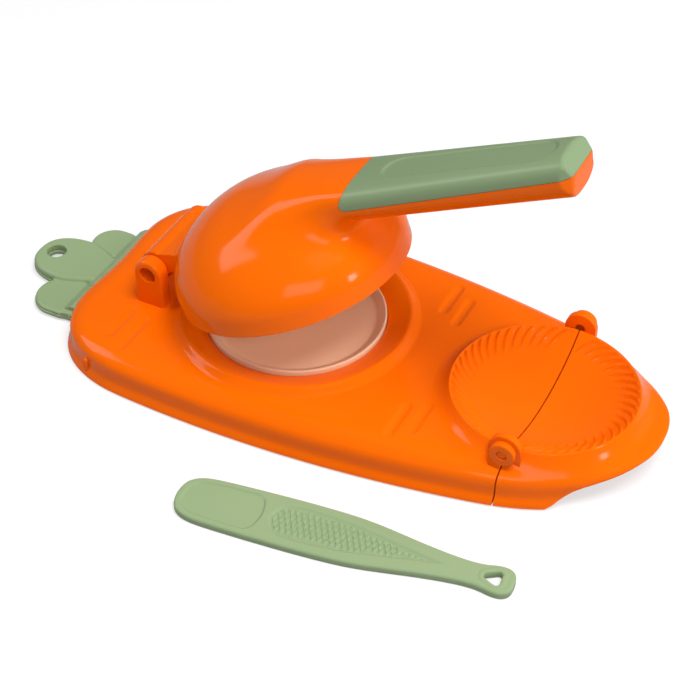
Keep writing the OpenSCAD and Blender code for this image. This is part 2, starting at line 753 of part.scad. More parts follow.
module leaf_top() {
    flare_top = skirt_gap + 0.75 * flare_h;
    upper_fit = 0.2 * foot_flare + leaf_fit;
    color(sage) difference() {
        union() {
            leaf_slab(leaf_split_z, flare_top, foot_flare + leaf_fit) {
                middle_lobe(0);
                side_lobes(0);
            }
            leaf_slab(flare_top, side_lobe_z, upper_fit) side_lobes(0);
            leaf_slab(flare_top, leaf_z, upper_fit) middle_lobe(0);
            intersection() {
                leaf_slab(flare_top, ramp_z + 1, upper_fit) side_lobes(0);
                upright(1, -far / 2, far) polygon([[tail_x - ramp_run, flare_top],
                    [tail_x - ramp_run, side_lobe_z], [tail_x, ramp_z], [tail_x + 12, ramp_z],
                    [tail_x + 12, flare_top]]);
            }
            translate([tail_x - foot_flare - 3, -tongue_half, tongue_z])
                cube([foot_flare + 3 + tongue_in, 2 * tongue_half, tongue_t]);
        }
        translate([hang_x, 0, 0]) tube_between(hang_r, 0, far);
        at_tongue_screws() tube_between(screw_r + 0.3, 0, far);
        at_layer_screws() tube_between(screw_r + set_fit, 0, side_lobe_z - screw_skin);
    }
}
side_screw_out = 14;
mid_screw_out = 21;
layer_screws = [[tail_x - side_screw_out, side_shift - side_lobe_y],
    [tail_x - side_screw_out, side_shift + side_lobe_y], [tail_x - mid_screw_out, lobe_shift]];
head_sink = 0.5;
head_clear = 0.2;
screw_skin = 0.6;
screw_tip_gap = 0.3;
module at_layer_screws() {
    for (p = layer_screws) translate([p[0], p[1], 0]) children();
}
module leaf_bottom() {
    color(sage) difference() {
        union() {
            leaf_slab(leaf_low_z, leaf_split_z, foot_flare + leaf_fit) middle_lobe(lower_inset);
            leaf_slab(leaf_low_z, leaf_split_z, foot_flare + leaf_fit) side_lobes(lower_inset);
        }
        translate([hang_x, 0, 0]) tube_between(hang_r, 0, far);
        at_layer_screws() {
            tube_between(screw_r + 0.3, 0, far);
            tube_between(head_r + head_clear, 0, leaf_low_z + head_t - head_sink);
        }
    }
}
module leaf_layer_screws() {
    seat = leaf_low_z + head_t - head_sink;
    color(steel) at_layer_screws() {
        tube_between(head_r, seat - head_t + head_clear, seat);
        tube_between(screw_r, seat, side_lobe_z - screw_skin - screw_tip_gap);
    }
}
module leaf_tongue_screws() {
    color(steel) at_tongue_screws() {
        tube_between(head_r, tongue_z - head_t, tongue_z);
        tube_between(screw_r, tongue_z, deck_z - deck_t - 2.5);
    }
}

module rubber_foot(x, y, r) {
    color(rubber) translate([x, y, 0]) {
        tube_between(r, 0, foot_t);
        tube_between(foot_stem_r, foot_t, foot_t + foot_stem_h);
    }
}

// Spatula: distance along it and half width, smoothed into its outline.
blade = [[0, 0.05], [0.6, 0.38], [2.6, 0.63], [6.5, 0.82], [13, 0.93], [26, 0.97], [44, 1], [64, 1.01],
    [82, 0.98], [94, 0.9], [106, 0.76], [118, 0.61], [130, 0.49], [140, 0.43], [147, 0.45],
    [152.5, 0.55], [157, 0.56], [160, 0.47], [161.6, 0.3], [162, 0.05]];
blade_l = blade[len(blade) - 1][0];
blade_scale = spatula_l / blade_l;
grip_panel = [[47.5, 0], [50, 0.48], [54, 0.65], [66, 0.69], [84, 0.64], [100, 0.44], [116, 0.2], [131, 0.04]];
grip_panel_d = 0.6;
spatula_x = 2.5;
scoop_d = 0.5;
scoop_rim = 3.2;
scoop_from_x = 14;
scoop_l = 20;
scoop_lap = 2;
scoop_tail = 7;
hole_in = 10;
hole_tip = [-2.6, 1.6];
hole_corner = [2, 2.2, 1.8];
module spatula_outline() {
    polygon(concat([for (p = blade) [p[0] * blade_scale, -p[1] * blade_half]],
        [for (i = [len(blade) - 1:-1:0]) [blade[i][0] * blade_scale, blade[i][1] * blade_half]]));
}
module spatula_scoop() {
    r = blade_half - scoop_rim;
    translate([scoop_from_x - scoop_lap, -r]) square([scoop_l + scoop_lap, 2 * r]);
    translate([scoop_from_x, 0]) circle(r);
    translate([scoop_from_x + scoop_l, 0]) intersection() {
        circle(r);
        translate([-scoop_lap, -blade_half]) square([scoop_lap + scoop_tail, 2 * blade_half]);
    }
}
module spatula_grip() {
    polygon(concat([for (p = grip_panel) [p[0] * blade_scale, -p[1] * blade_half]],
        [for (i = [len(grip_panel) - 1:-1:1]) [grip_panel[i][0] * blade_scale, grip_panel[i][1] * blade_half]]));
}
module spatula_hole() {
    hull() {
        translate([hole_tip[0], 0]) circle(hole_tip[1], $fn = 32);
        for (s = [-1, 1]) translate([hole_corner[0], s * hole_corner[1]]) circle(hole_corner[2], $fn = 32);
    }
}
module spatula() {
    color(sage) translate([spatula_x, spatula_y, 0]) rotate([0, 0, spatula_turn]) difference() {
        linear_extrude(spatula_t) spatula_outline();
        translate([0, 0, spatula_t - scoop_d]) linear_extrude(spatula_t) spatula_scoop();
        translate([0, 0, spatula_t - grip_panel_d]) linear_extrude(spatula_t) spatula_grip();
        translate([spatula_l - hole_in, 0, -spatula_t]) linear_extrude(3 * spatula_t) spatula_hole();
    }
}

base_board();
mould_tip();
lid_shell();
handle_cap();
handle_cap_screws();
upper_press_plate();
lower_press_plate();
press_plate_screws();
lid_pin(-1);  // lid_pin_near
lid_pin(1);  // lid_pin_far
mould_pin(-1);  // mould_pin_near
mould_pin(1);  // mould_pin_far
leaf_top();
leaf_bottom();
leaf_layer_screws();
leaf_tongue_screws();
rubber_foot(0, 0, centre_foot_r);  // centre_foot
rubber_foot(tail_foot_x, -tail_foot_y, foot_r);  // tail_foot_near
rubber_foot(tail_foot_x, tail_foot_y, foot_r);  // tail_foot_far
rubber_foot(mould_foot_x, -mould_foot_y, foot_r);  // mould_foot_near
rubber_foot(mould_foot_x, mould_foot_y, foot_r);  // mould_foot_far
spatula();
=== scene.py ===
import math

import bmesh
import bpy
import numpy as np
from mathutils import Matrix, Vector
from mathutils.geometry import delaunay_2d_cdt


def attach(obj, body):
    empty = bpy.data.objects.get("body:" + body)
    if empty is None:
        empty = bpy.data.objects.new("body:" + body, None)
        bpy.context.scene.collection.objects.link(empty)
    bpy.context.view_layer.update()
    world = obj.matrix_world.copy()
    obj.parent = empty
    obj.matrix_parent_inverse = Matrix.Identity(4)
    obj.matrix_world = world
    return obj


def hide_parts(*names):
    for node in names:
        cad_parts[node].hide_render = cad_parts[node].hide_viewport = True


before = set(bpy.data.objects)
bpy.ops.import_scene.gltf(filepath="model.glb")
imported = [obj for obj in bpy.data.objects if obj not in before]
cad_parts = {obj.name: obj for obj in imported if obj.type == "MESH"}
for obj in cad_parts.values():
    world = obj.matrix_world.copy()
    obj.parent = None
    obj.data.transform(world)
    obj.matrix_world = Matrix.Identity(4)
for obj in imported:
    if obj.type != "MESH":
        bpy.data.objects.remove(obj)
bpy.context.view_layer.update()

# ---- Table, lamps and camera ----
# A white table runs on into a white background, large soft lamps light the press from above,
# and the camera looks down on it over the near side. The lamps and the table are placed in metres,
# the camera and all that follows in millimetres.
MM = 0.001
camera_lens = 83.69
camera_round, camera_up, camera_roll = (math.radians(a) for a in (27.19, 41.5, -0.16))
camera_target = Vector((36.51, -12.53, 19.5)) * MM
camera_distance = 802.36 * MM
back = Vector((math.sin(camera_round) * math.cos(camera_up), -math.cos(camera_round) * math.cos(camera_up),
               math.sin(camera_up)))
level = Vector((0, 0, 1)).cross(back).normalized()
over = back.cross(level)
right = level * math.cos(camera_roll) + over * math.sin(camera_roll)
up = over * math.cos(camera_roll) - level * math.sin(camera_roll)
camera = bpy.data.objects.new("camera", bpy.data.cameras.new("camera"))
camera.data.lens = camera_lens
camera.data.sensor_width = 36
camera.data.clip_start = 0.05
camera.matrix_world = Matrix.Translation(camera_target + back * camera_distance) @ Matrix(
    (right, up, back)).transposed().to_4x4()
bpy.context.scene.collection.objects.link(camera)
bpy.context.scene.camera = camera
bpy.context.scene.view_settings.view_transform = "Standard"


def softbox(name, place, aim, wide, high, power, mirrored=True):
    """A soft lamp in metres and watts, aimed at a point. It can be kept out of reflections."""
    lamp = bpy.data.lights.new(name, "AREA")
    lamp.shape = "RECTANGLE"
    lamp.size, lamp.size_y, lamp.energy = wide, high, power
    obj = bpy.data.objects.new(name, lamp)
    turn = (Vector(place) - Vector(aim)).to_track_quat("Z", "Y")
    obj.matrix_world = Matrix.Translation(place) @ turn.to_matrix().to_4x4()
    obj.visible_glossy = mirrored
    bpy.context.scene.collection.objects.link(obj)


softbox("main", (0.48, -0.19, 1.41), (0.03, 0, 0.03), 0.7, 0.7, 18, mirrored=False)
softbox("back", (1.0, 1.0, 0.51), (0.03, 0, 0.05), 0.7, 0.7, 9, mirrored=False)
softbox("window", (-1.15, -0.3, 1.0), (0, -0.03, 0.08), 0.55, 0.8, 6.5)
softbox("side", (1.4, -0.17, 0.6), (0.05, -0.02, 0.08), 0.2, 0.3, 3.5)
softbox("front", (0.6, -1.02, 0.92), (0.03, 0, 0.03), 0.9, 0.45, 4.5)
mirror_share = 0.05


def combined(tree, operation, first, second):
    """The result of a Math node on an output and a number or another output."""
    node = tree.nodes.new("ShaderNodeMath")
    node.operation = operation
    tree.links.new(first, node.inputs[0])
    if isinstance(second, float):
        node.inputs[1].default_value = second
    else:
        tree.links.new(second, node.inputs[1])
    return node.outputs[0]


def seen_white(tree, dull, bright):
    """A strength that is dull as light on the press, bright where seen, and between where mirrored."""
    path = tree.nodes.new("ShaderNodeLightPath").outputs
    straight = combined(tree, "MAXIMUM", path["Is Camera Ray"], path["Is Transmission Ray"])
    mirrored = combined(tree, "MULTIPLY", path["Is Glossy Ray"], mirror_share)
    level_mix = tree.nodes.new("ShaderNodeMix")
    level_mix.inputs["A"].default_value = dull
    level_mix.inputs["B"].default_value = bright
    tree.links.new(combined(tree, "MAXIMUM", straight, mirrored), level_mix.inputs["Factor"])
    return level_mix.outputs["Result"]


room = bpy.data.worlds.new("room")
bpy.context.scene.world = room
room.use_nodes = True
room_light = room.node_tree.nodes["Background"]
room_light.inputs["Color"].default_value = (1, 1, 1, 1)
room.node_tree.links.new(seen_white(room.node_tree, 0.1, 1.0), room_light.inputs["Strength"])

table_material = bpy.data.materials.new("white table")
table_material.use_nodes = True
table_tree = table_material.node_tree
table_tree.nodes.clear()
table_paint = table_tree.nodes.new("ShaderNodeBsdfDiffuse")
table_paint.inputs["Color"].default_value = (0.42, 0.42, 0.42, 1)
table_glow = table_tree.nodes.new("ShaderNodeEmission")
table_glow.inputs["Color"].default_value = (1, 1, 1, 1)
table_tree.links.new(seen_white(table_tree, 0.0, 0.56), table_glow.inputs["Strength"])
table_sum = table_tree.nodes.new("ShaderNodeAddShader")
table_out = table_tree.nodes.new("ShaderNodeOutputMaterial")
table_tree.links.new(table_paint.outputs[0], table_sum.inputs[0])
table_tree.links.new(table_glow.outputs[0], table_sum.inputs[1])
table_tree.links.new(table_sum.outputs[0], table_out.inputs["Surface"])
table_half, table_drop = 6, 0.0002
table_bm = bmesh.new()
bmesh.ops.create_grid(table_bm, x_segments=1, y_segments=1, size=table_half)
table_mesh = bpy.data.meshes.new("table")
table_bm.to_mesh(table_mesh)
table_bm.free()
table = bpy.data.objects.new("table", table_mesh)
table.location.z = -table_drop
table_mesh.materials.append(table_material)
bpy.context.scene.collection.objects.link(table)

# ---- Board and folding tip ----
# One carrot-shaped tray moulded in glossy orange ABS, hollow below, cut at the seam into the board
# and the tip that folds over. Ring for the press plate, ring and toothed bevel of the mould, grip marks.
deck = 19.5
board_half, widest_x, side_r = 74.9, -15.0, 665.0
tail_x, tail_dip, tail_dip_half, tail_round_x, tail_bow, tail_square = -110.5, 2.4, 42.0, -60.0, 2.2, 4.5
tip_x, tip_round_x, tip_bow = 194.5, 125.0, 2.4
skirt_gap, skin_t, foot_flare = 0.8, 2.4, 2.4
shoulder_w, shoulder_h, lip_t = 13.0, 7.5, 0.6
lift_x = 156.0
lift_curve = ((0, 6, 10, 14, 20, 28, 34, 39), (0, 4.5, 8, 10.2, 11.9, 13.9, 15.7, 16.4))
plate_r, plate_gap, seat_drop, moat_drop = 45.7, 0.5, 3.6, 0.6
crest_r, crest_h, ring_foot_r = 57.8, 3.4, 63.5
seam_x, seam_gap = 134.2, 0.7
mould_r, mould_h, mould_foot_r, bowl_r, bowl_edge_h, bowl_depth = 45.0, 6.5, 54.0, 38.0, 2.4, 8.0
teeth, tooth_span = 22, 158.0
fold_h, fold_pin_r = 7.2, 2.5
inner_ear_y, inner_ear_t, outer_ear_y, outer_ear_t = 46.0, 3.5, 49.9, 3.5
outer_ear_r, inner_ear_r, ear_gap = 6.3, 8.0, 0.4
groove_marks = ((-76, -35, 20), (-66, -39, 22), (65, 36, 20), (74.5, 30, 18), (79, -36, 20), (88, -31, 18))
groove_r, groove_depth, groove_soft = 2.0, 0.85, 1.4
fin_from, fin_to, fin_sweep, fin_curl, fin_steep, fin_gentle = 33.5, 45.2, 13.0, 1.7, 0.2, 0.42
fin_h, fin_growth, fin_sink = 0.7, 1.3, 0.5
seat_r = plate_r + plate_gap
bowl_ball_r = (bowl_r ** 2 + bowl_depth ** 2) / (2 * bowl_depth)


def side_w(x):
    return board_half - (x - widest_x) ** 2 / (2 * side_r)


def tail_in(y):
    return tail_dip * np.cos(np.pi / 2 * np.minimum(1, np.abs(y) / tail_dip_half)) ** 2


def outline(d, tail_steps=34, side_steps=30, tip_steps=44):
    """Points round the tray, d inside its edge."""
    a = np.pi / 2 * (np.arange(tail_steps + 1) / tail_steps) ** 2
    x = tail_round_x - (tail_round_x - tail_x - d) * np.cos(a) ** (2 / tail_bow)
    y = (side_w(x) - d) * np.sin(a) ** (2 / tail_square)
    tail = np.stack([x + tail_in(y), y], 1)
    x = np.linspace(tail_round_x, tip_round_x, side_steps + 1)[1:]
    side = np.stack([x, side_w(x) - d], 1)
    a = np.pi / 2 * (1 - np.arange(1, tip_steps + 1) / tip_steps) ** 1.4
    x = tip_round_x + (tip_x - tip_round_x - d) * np.cos(a) ** (2 / tip_bow)
    tip = np.stack([x, (side_w(x) - d) * np.sin(a) ** (2 / tip_bow)], 1)
    half = np.concatenate([tail, side, tip])
    return np.concatenate([half * (1, -1), half[-2:0:-1]])


def inset(x, y):
    """How far inside the tray's edge each point lies."""
    y = np.abs(y)
    tail_far = np.maximum(0, tail_round_x - (x - tail_in(y)))
    tip_far = np.maximum(0, x - tip_round_x)
    wide = side_w(np.where(tail_far > 0, x - tail_in(y), x))
    power = np.where(tip_far > 0, tip_bow, tail_square)
    low, high = np.full_like(x, -8.0), np.full_like(x, 48.0)
    for halving in range(36):
        d = (low + high) / 2
        tail = (tail_far / (tail_round_x - tail_x - d)) ** tail_bow
        tip = (tip_far / (tip_x - tip_round_x - d)) ** tip_bow
        beyond = tail + tip + (y / np.maximum(wide - d, 1e-6)) ** power > 1
        high, low = np.where(beyond, d, high), np.where(beyond, low, d)
    return (low + high) / 2


def lift_z(x):
    return skirt_gap + np.interp(x - lift_x, *lift_curve)


def lip_share(x):
    return np.minimum(1, (deck - lift_z(x) - lip_t) / shoulder_h)


def ease(t):
    t = np.clip(t, 0, 1)
    return t * t * (3 - 2 * t)


def soft_min(a, b, k):
    h = np.maximum(k - np.abs(a - b), 0) / k
    return np.minimum(a, b) - h * h * k / 4


def fins(r, angle):
    """Crimping fins on the mould's bevel: crescents that sweep clockwise as they rise to the crest."""
    along = (r - fin_from) / (fin_to - fin_from)
    swept = np.degrees(angle) + fin_sweep * np.clip(along, 0, 1) ** fin_curl - fin_sweep / 2
    place = (swept + tooth_span / 2) / tooth_span * (teeth - 1) + 0.5
    phase = place - np.floor(place) - 0.5
    ridge = np.maximum(0, np.where(phase > 0, 1 - phase / fin_gentle, 1 + phase / fin_steep)) ** 1.3
    shown = ease(along / 0.3) * ease((1.0 - along) / 0.16) * ((place > 0) & (place < teeth))
    return shown * ((fin_h + fin_growth * np.clip(along, 0, 1)) * ridge - fin_sink)


def tray_height(x, y, pockets):
    """Height of the tray's top above its deck."""
    drop = shoulder_h * lip_share(x) * (1 - np.sqrt(1 - np.clip(1 - inset(x, y) / shoulder_w, 0, 1) ** 2))
    r = np.hypot(x, y)
    slope = -moat_drop + (r - seat_r) * (crest_h + moat_drop + 0.2) / (crest_r - seat_r)
    flank = (crest_h + 0.3) * ease((ring_foot_r - r) / (ring_foot_r - crest_r + 0.6))
    ring = np.where(r < ring_foot_r, soft_min(slope, flank, 0.7), 0)
    ring = np.where(r < seat_r - 0.01, -seat_drop, ring)
    m = np.hypot(x - seam_x, y)
    bowl = bowl_edge_h - bowl_depth + bowl_ball_r - np.sqrt(bowl_ball_r ** 2 - np.minimum(m, bowl_r) ** 2)
    bevel = bowl + np.maximum(0, m - bowl_r) * (mould_h - 0.5 - bowl_edge_h) / (mould_r - 0.6 - bowl_r)
    outer = (m - mould_r - 0.2) / (mould_foot_r - mould_r - 0.2)
    hill = (mould_h + 0.8) * np.where(outer < 0, 1 - 2.2 * outer, (1 - np.clip(outer, 0, 1)) ** 2.2)
    mould = np.where(m < mould_foot_r, soft_min(bevel, hill, 0.9), 0)
    mould = mould + fins(m, np.arctan2(y, np.abs(x - seam_x)) * np.where(x > seam_x, 1, -1))
    top = ring + mould - drop
    for gx, gy, length in groove_marks:
        end = gy + math.copysign(length, gy)
        off = np.hypot(x - gx, y - np.clip(y, min(gy, end), max(gy, end))) - groove_r
        top = top - groove_depth * ease((groove_soft - off) / (2 * groove_soft))
    if pockets:
        pocket_r = inner_ear_r + ear_gap
        hollow = fold_h - np.sqrt(np.maximum(pocket_r ** 2 - (x - seam_x) ** 2, 0))
        low, high = inner_ear_y - ear_gap, inner_ear_y + inner_ear_t + ear_gap
        inside = (np.abs(y) > low - 0.01) & (np.abs(y) < high + 0.01) & (np.abs(x - seam_x) < pocket_r)
        top = np.where(inside, np.minimum(top, hollow), top)
    return top


def circle_loop(x, y, r, steps=192):
    a = np.arange(steps) * 2 * np.pi / steps
    return np.stack([x + r * np.cos(a), y + r * np.sin(a)], 1)


def stadium_loop(x, y, length, r, steps=10):
    a = np.linspace(0, np.pi, steps)
    end = y + math.copysign(length, y)
    low, high = min(y, end), max(y, end)
    upper = np.stack([x + r * np.cos(a), high + r * np.sin(a)], 1)
    lower = np.stack([x - r * np.cos(a), low - r * np.sin(a)], 1)
    return np.concatenate([upper, lower])


def fin_lines():
    """The foot, the ridge and the other foot of each crimping fin, as open lines."""
    lines = []
    along = np.linspace(0, 1, 10)
    r = fin_from + (fin_to - fin_from) * along
    for side in (1, -1):
        for tooth in range(teeth):
            for part in (-fin_steep, -fin_steep / 2, 0, fin_gentle / 3, fin_gentle):
                swept = -tooth_span / 2 + tooth_span * (tooth + part) / (teeth - 1)
                a = np.radians(swept - fin_sweep * along ** fin_curl + fin_sweep / 2)
                lines.append(np.stack([seam_x + side * r * np.cos(a), side * r * np.sin(a)], 1))
    return lines


def drawn_skin(loops, lines, height, dots=(), gone=None):
    """The first loop filled with a mesh, raised to a height, whose edges follow all loops and lines.

    The dots are further corners. Faces whose middle is gone are left out.
    """
    points, edges = [], []
    for run in loops:
        first = len(points)
        points += [Vector(p) for p in run]
        edges += [(first + i, first + (i + 1) % len(run)) for i in range(len(run))]
    for run in lines:
        first = len(points)
        points += [Vector(p) for p in run]
        edges += [(first + i, first + i + 1) for i in range(len(run) - 1)]
    points += [Vector(p) for p in dots]
    skin = delaunay_2d_cdt(points, edges, [list(range(len(loops[0])))], 1, 1e-3)
    flat, faces = np.array(skin[0]), skin[2]
    if gone:
        middles = np.array([flat[f].mean(0) for f in faces])
        faces = [f for f, out in zip(faces, gone(*middles.T)) if not out]
    bm = bmesh.new()
    corners = [bm.verts.new((x, y, 0)) for x, y in flat]
    for f in faces:
        bm.faces.new([corners[i] for i in f])
    flat = np.array([v.co for v in bm.verts])
    for v, z in zip(bm.verts, height(flat[:, 0], flat[:, 1])):
        v.co.z = z
    bmesh.ops.delete(bm, geom=[v for v in bm.verts if not v.link_faces], context="VERTS")
    bmesh.ops.recalc_face_normals(bm, faces=bm.faces)
    if sum(f.normal.z for f in bm.faces) < 0:
        bmesh.ops.reverse_faces(bm, faces=bm.faces)
    return bm


edge_insets = 0, 0.5, 1.4, 2.8, 4.6, 6.8, 9.6, 13
crest_rings = -8.8, -5.8, -2.8, -1.5, -0.8, -0.4, 0, 0.4, 1, 1.8, 2.8, 3.8, 4.8
mould_rings = (6, 12, 18, 24, 29, 33, 36, 38, 39.5, 41, 42.5, 43.6, 44.4, 44.9, 45.3, 45.8, 46.5, 47.4,
               48.6, 50, 52, 54)
groove_rings = 1.4, 0.7, 0, -0.7, -1.4


def tray_skin(pockets):
    """The tray's top, with edges along its rings, marks and fins."""
    rings = [outline(d) for d in edge_insets]
    rings += [circle_loop(0, 0, r) for r in (seat_r - 0.05, seat_r, *(crest_r + off for off in crest_rings),
                                             ring_foot_r)]
    rings += [circle_loop(seam_x, 0, r) for r in mould_rings]
    rings += [stadium_loop(*mark, groove_r + off) for mark in groove_marks for off in groove_rings]
    if pockets:
        wide = inner_ear_r + ear_gap
        columns = seam_x + wide * np.sin(np.radians(np.linspace(-90, 90, 17)))
        for side in (1, -1):
            for grow in (0.01, 0.06):
                low = side * (inner_ear_y - ear_gap - grow)
                high = side * (inner_ear_y + inner_ear_t + ear_gap + grow)
                rings.append(np.concatenate([np.stack([columns, np.full(17, low)], 1),
                                             np.stack([columns[::-1], np.full(17, high)], 1)]))
    return drawn_skin(rings, fin_lines(), lambda x, y: deck + tray_height(x, y, pockets))


def outward(x, y):
    """Unit vectors out of the tray's edge."""
    step = 0.05
    gx = inset(x + step, y) - inset(x - step, y)
    gy = inset(x, y + step) - inset(x, y - step)
    size = np.hypot(gx, gy)
    return -gx / size, -gy / size


def draw_rim(bm, rim):
    """Draws new faces out of an open rim, and gives the new rim's edges and corners to be placed."""
    made = bmesh.ops.extrude_edge_only(bm, edges=rim)["geom"]
    edges = [g for g in made if isinstance(g, bmesh.types.BMEdge) and g.is_boundary]
    return edges, [g for g in made if isinstance(g, bmesh.types.BMVert)]


def flare(z):
    """How far the side wall stands out at a height."""
    return np.interp(z, (skirt_gap, 2.6, 4.9, 7.3), (foot_flare, 0.8 * foot_flare, 0.2 * foot_flare, 0))


def hang_skirt(bm):
    """Draws the side wall down from the tray's edge, flared at its foot."""
    home = [bm.verts.layers.float.new("home_" + axis) for axis in "xy"]
    rim = [e for e in bm.edges if e.is_boundary]
    for v in {v for e in rim for v in e.verts}:
        v[home[0]], v[home[1]] = v.co.x, v.co.y
    for share in (0.25, 0.5, 0.62, 0.74, 0.84, 0.92, 1.0):
        rim, new = draw_rim(bm, rim)
        x, y = (np.array([v[h] for v in new]) for h in home)
        nx, ny = outward(x, y)
        top = deck - shoulder_h * lip_share(x)
        z = top + (lift_z(x) - top) * share
        for v, a, b, c in zip(new, x + nx * flare(z), y + ny * flare(z), z):
            v.co = (a, b, c)


def slice_at(bm, point, normal, cut_off=False, near=1e-3):
    """Cuts a mesh along a plane, and away beyond it if cut_off is set."""
    bmesh.ops.bisect_plane(bm, geom=bm.verts[:] + bm.edges[:] + bm.faces[:], dist=near, plane_co=point,
                           plane_no=normal, clear_outer=cut_off)


def cut_at_seam(bm, side):
    """Keeps the tray on one side of the seam and closes it with a wall there."""
    at = seam_x + side * seam_gap / 2
    slice_at(bm, (at, 0, 0), (-side, 0, 0), cut_off=True, near=1e-4)
    edges = [e for e in bm.edges if e.is_boundary and all(abs(v.co.x - at) < 1e-3 for v in e.verts)]
    count = {}
    for e in edges:
        for v in e.verts:
            count[v] = count.get(v, 0) + 1
    ends = [v for v, n in count.items() if n == 1]
    edges.append(bm.edges.new(ends))
    bmesh.ops.triangle_fill(bm, use_beauty=True, edges=edges, normal=(side, 0, 0))
    bmesh.ops.recalc_face_normals(bm, faces=bm.faces)


def link(name, bm):
    """A new object from a bmesh in millimetres."""
    mesh = bpy.data.meshes.new(name)
    bm.to_mesh(mesh)
    bm.free()
    mesh.transform(Matrix.Scale(MM, 4))
    obj = bpy.data.objects.new(name, mesh)
    bpy.context.scene.collection.objects.link(obj)
    return obj


def settle(obj):
    """Applies an object's modifiers."""
    bpy.context.view_layer.update()
    done = bpy.data.meshes.new_from_object(obj.evaluated_get(bpy.context.evaluated_depsgraph_get()))
    obj.modifiers.clear()
    obj.data = done


def thicken(obj, thickness):
    shell = obj.modifiers.new("wall", "SOLIDIFY")
    shell.thickness = thickness * MM
    shell.offset = -1
    settle(obj)


def filled_plate(loops, along):
    """A closed plate: an outline and perhaps holes, as points, filled and drawn out."""
    bm = bmesh.new()
    edges = []
    for loop in loops:
        ring = [bm.verts.new(p) for p in loop]
        edges += [bm.edges.new((ring[i - 1], ring[i])) for i in range(len(ring))]
    facing = Vector(along).normalized()
    filled = bmesh.ops.triangle_fill(bm, use_beauty=True, edges=edges, normal=facing)["geom"]
    faces = [g for g in filled if isinstance(g, bmesh.types.BMFace)]
    made = bmesh.ops.extrude_face_region(bm, geom=faces)["geom"]
    bmesh.ops.translate(bm, vec=along, verts=[g for g in made if isinstance(g, bmesh.types.BMVert)])
    bmesh.ops.recalc_face_normals(bm, faces=bm.faces)
    return bm


def upright_plate(outline_xz, y0, y1, hole=None, soft=0.8, segments=3):
    """A plate standing between y0 and y1, with softened edges and perhaps a round hole (x, z, radius)."""
    loops = [[(x, y0, z) for x, z in outline_xz]]
    if hole:
        loops.append([(x, y0, z) for x, z in arc(*hole, 0, 360, 48)[:-1]])
    bm = filled_plate(loops, (0, y1 - y0, 0))
    soft_edges = []
    for e in bm.edges:
        at_hole = hole and all(math.hypot(v.co.x - hole[0], v.co.z - hole[1]) < hole[2] + 0.01
                               for v in e.verts)
        if not at_hole and len(e.link_faces) == 2 and e.calc_face_angle() > math.radians(40):
            soft_edges.append(e)
    bmesh.ops.bevel(bm, geom=soft_edges, offset=soft, segments=segments, profile=0.5, affect="EDGES",
                    material=-1, clamp_overlap=True)
    return bm


def absorb(bm, part):
    """Moves all of one bmesh into another."""
    mesh = bpy.data.meshes.new("part")
    part.to_mesh(mesh)
    part.free()
    bm.from_mesh(mesh)
    bpy.data.meshes.remove(mesh)


def add_part(obj, bm):
    """Adds a closed part, in millimetres, to an object's mesh."""
    bmesh.ops.scale(bm, vec=(MM, MM, MM), verts=bm.verts)
    whole = bmesh.new()
    whole.from_mesh(obj.data)
    absorb(whole, bm)
    whole.to_mesh(obj.data)
    whole.free()


def turned(profile, steps=128, axis=(0, 0, 1), closed=False):
    """A solid of revolution about the Z or the Y axis. The profile runs from axis to axis, or is closed."""
    bm = bmesh.new()
    ring = [bm.verts.new((r, 0, h) if axis[2] else (r, h, 0)) for r, h in profile]
    edges = [bm.edges.new(pair) for pair in zip(ring, ring[1:])]
    if closed:
        edges.append(bm.edges.new((ring[-1], ring[0])))
    bmesh.ops.spin(bm, geom=ring + edges, axis=axis, cent=(0, 0, 0), angle=2 * math.pi, steps=steps,
                   use_merge=True)
    bmesh.ops.remove_doubles(bm, verts=bm.verts, dist=1e-4)
    bmesh.ops.recalc_face_normals(bm, faces=bm.faces)
    return bm


def rod(x, y, z0, z1, r, bore=0.0, soft=0.3, steps=40):
    """An upright post with softened ends, and a bore if it is a tube."""
    profile = [(bore, z0), (r - soft, z0), (r, z0 + soft), (r, z1 - soft), (r - soft, z1), (bore, z1)]
    bm = turned(profile, steps, closed=bool(bore))
    bmesh.ops.translate(bm, vec=(x, y, 0), verts=bm.verts)
    return bm


def block(x0, y0, z0, x1, y1, z1, soft=0.3):
    bm = bmesh.new()
    bmesh.ops.create_cube(bm, size=1)
    bmesh.ops.scale(bm, vec=(x1 - x0, y1 - y0, z1 - z0), verts=bm.verts)
    bmesh.ops.translate(bm, vec=((x0 + x1) / 2, (y0 + y1) / 2, (z0 + z1) / 2), verts=bm.verts)
    bmesh.ops.bevel(bm, geom=bm.edges[:], offset=soft, segments=2, profile=0.5, affect="EDGES", material=-1)
    return bm


def unit(vectors):
    return vectors / np.maximum(np.linalg.norm(vectors, axis=1), 1e-6)[:, None]


def smooth(obj, angle=35):
    obj.data.shade_smooth()
    obj.data.set_sharp_from_angle(angle=math.radians(angle))


def smooth_by_surface(obj, surface_normals):
    """Shades an object smooth. Where its faces lie on a known surface they take that surface's normals."""
    smooth(obj, 32)
    mesh = obj.data
    co = np.empty(len(mesh.vertices) * 3)
    mesh.vertices.foreach_get("co", co)
    on_surface, normals = surface_normals(co.reshape(-1, 3) / MM)
    corner_vertex = np.empty(len(mesh.loops), int)
    mesh.loops.foreach_get("vertex_index", corner_vertex)
    sizes = np.empty(len(mesh.polygons), int)
    mesh.polygons.foreach_get("loop_total", sizes)
    face_normal = np.empty(len(mesh.polygons) * 3)
    mesh.polygons.foreach_get("normal", face_normal)
    flat = np.repeat(face_normal.reshape(-1, 3), sizes, 0)
    wanted = normals[corner_vertex]
    good = on_surface[corner_vertex] & ((flat * wanted).sum(1) > 0.75)
    mesh.normals_split_custom_set(np.where(good[:, None], wanted, 0.0).tolist())


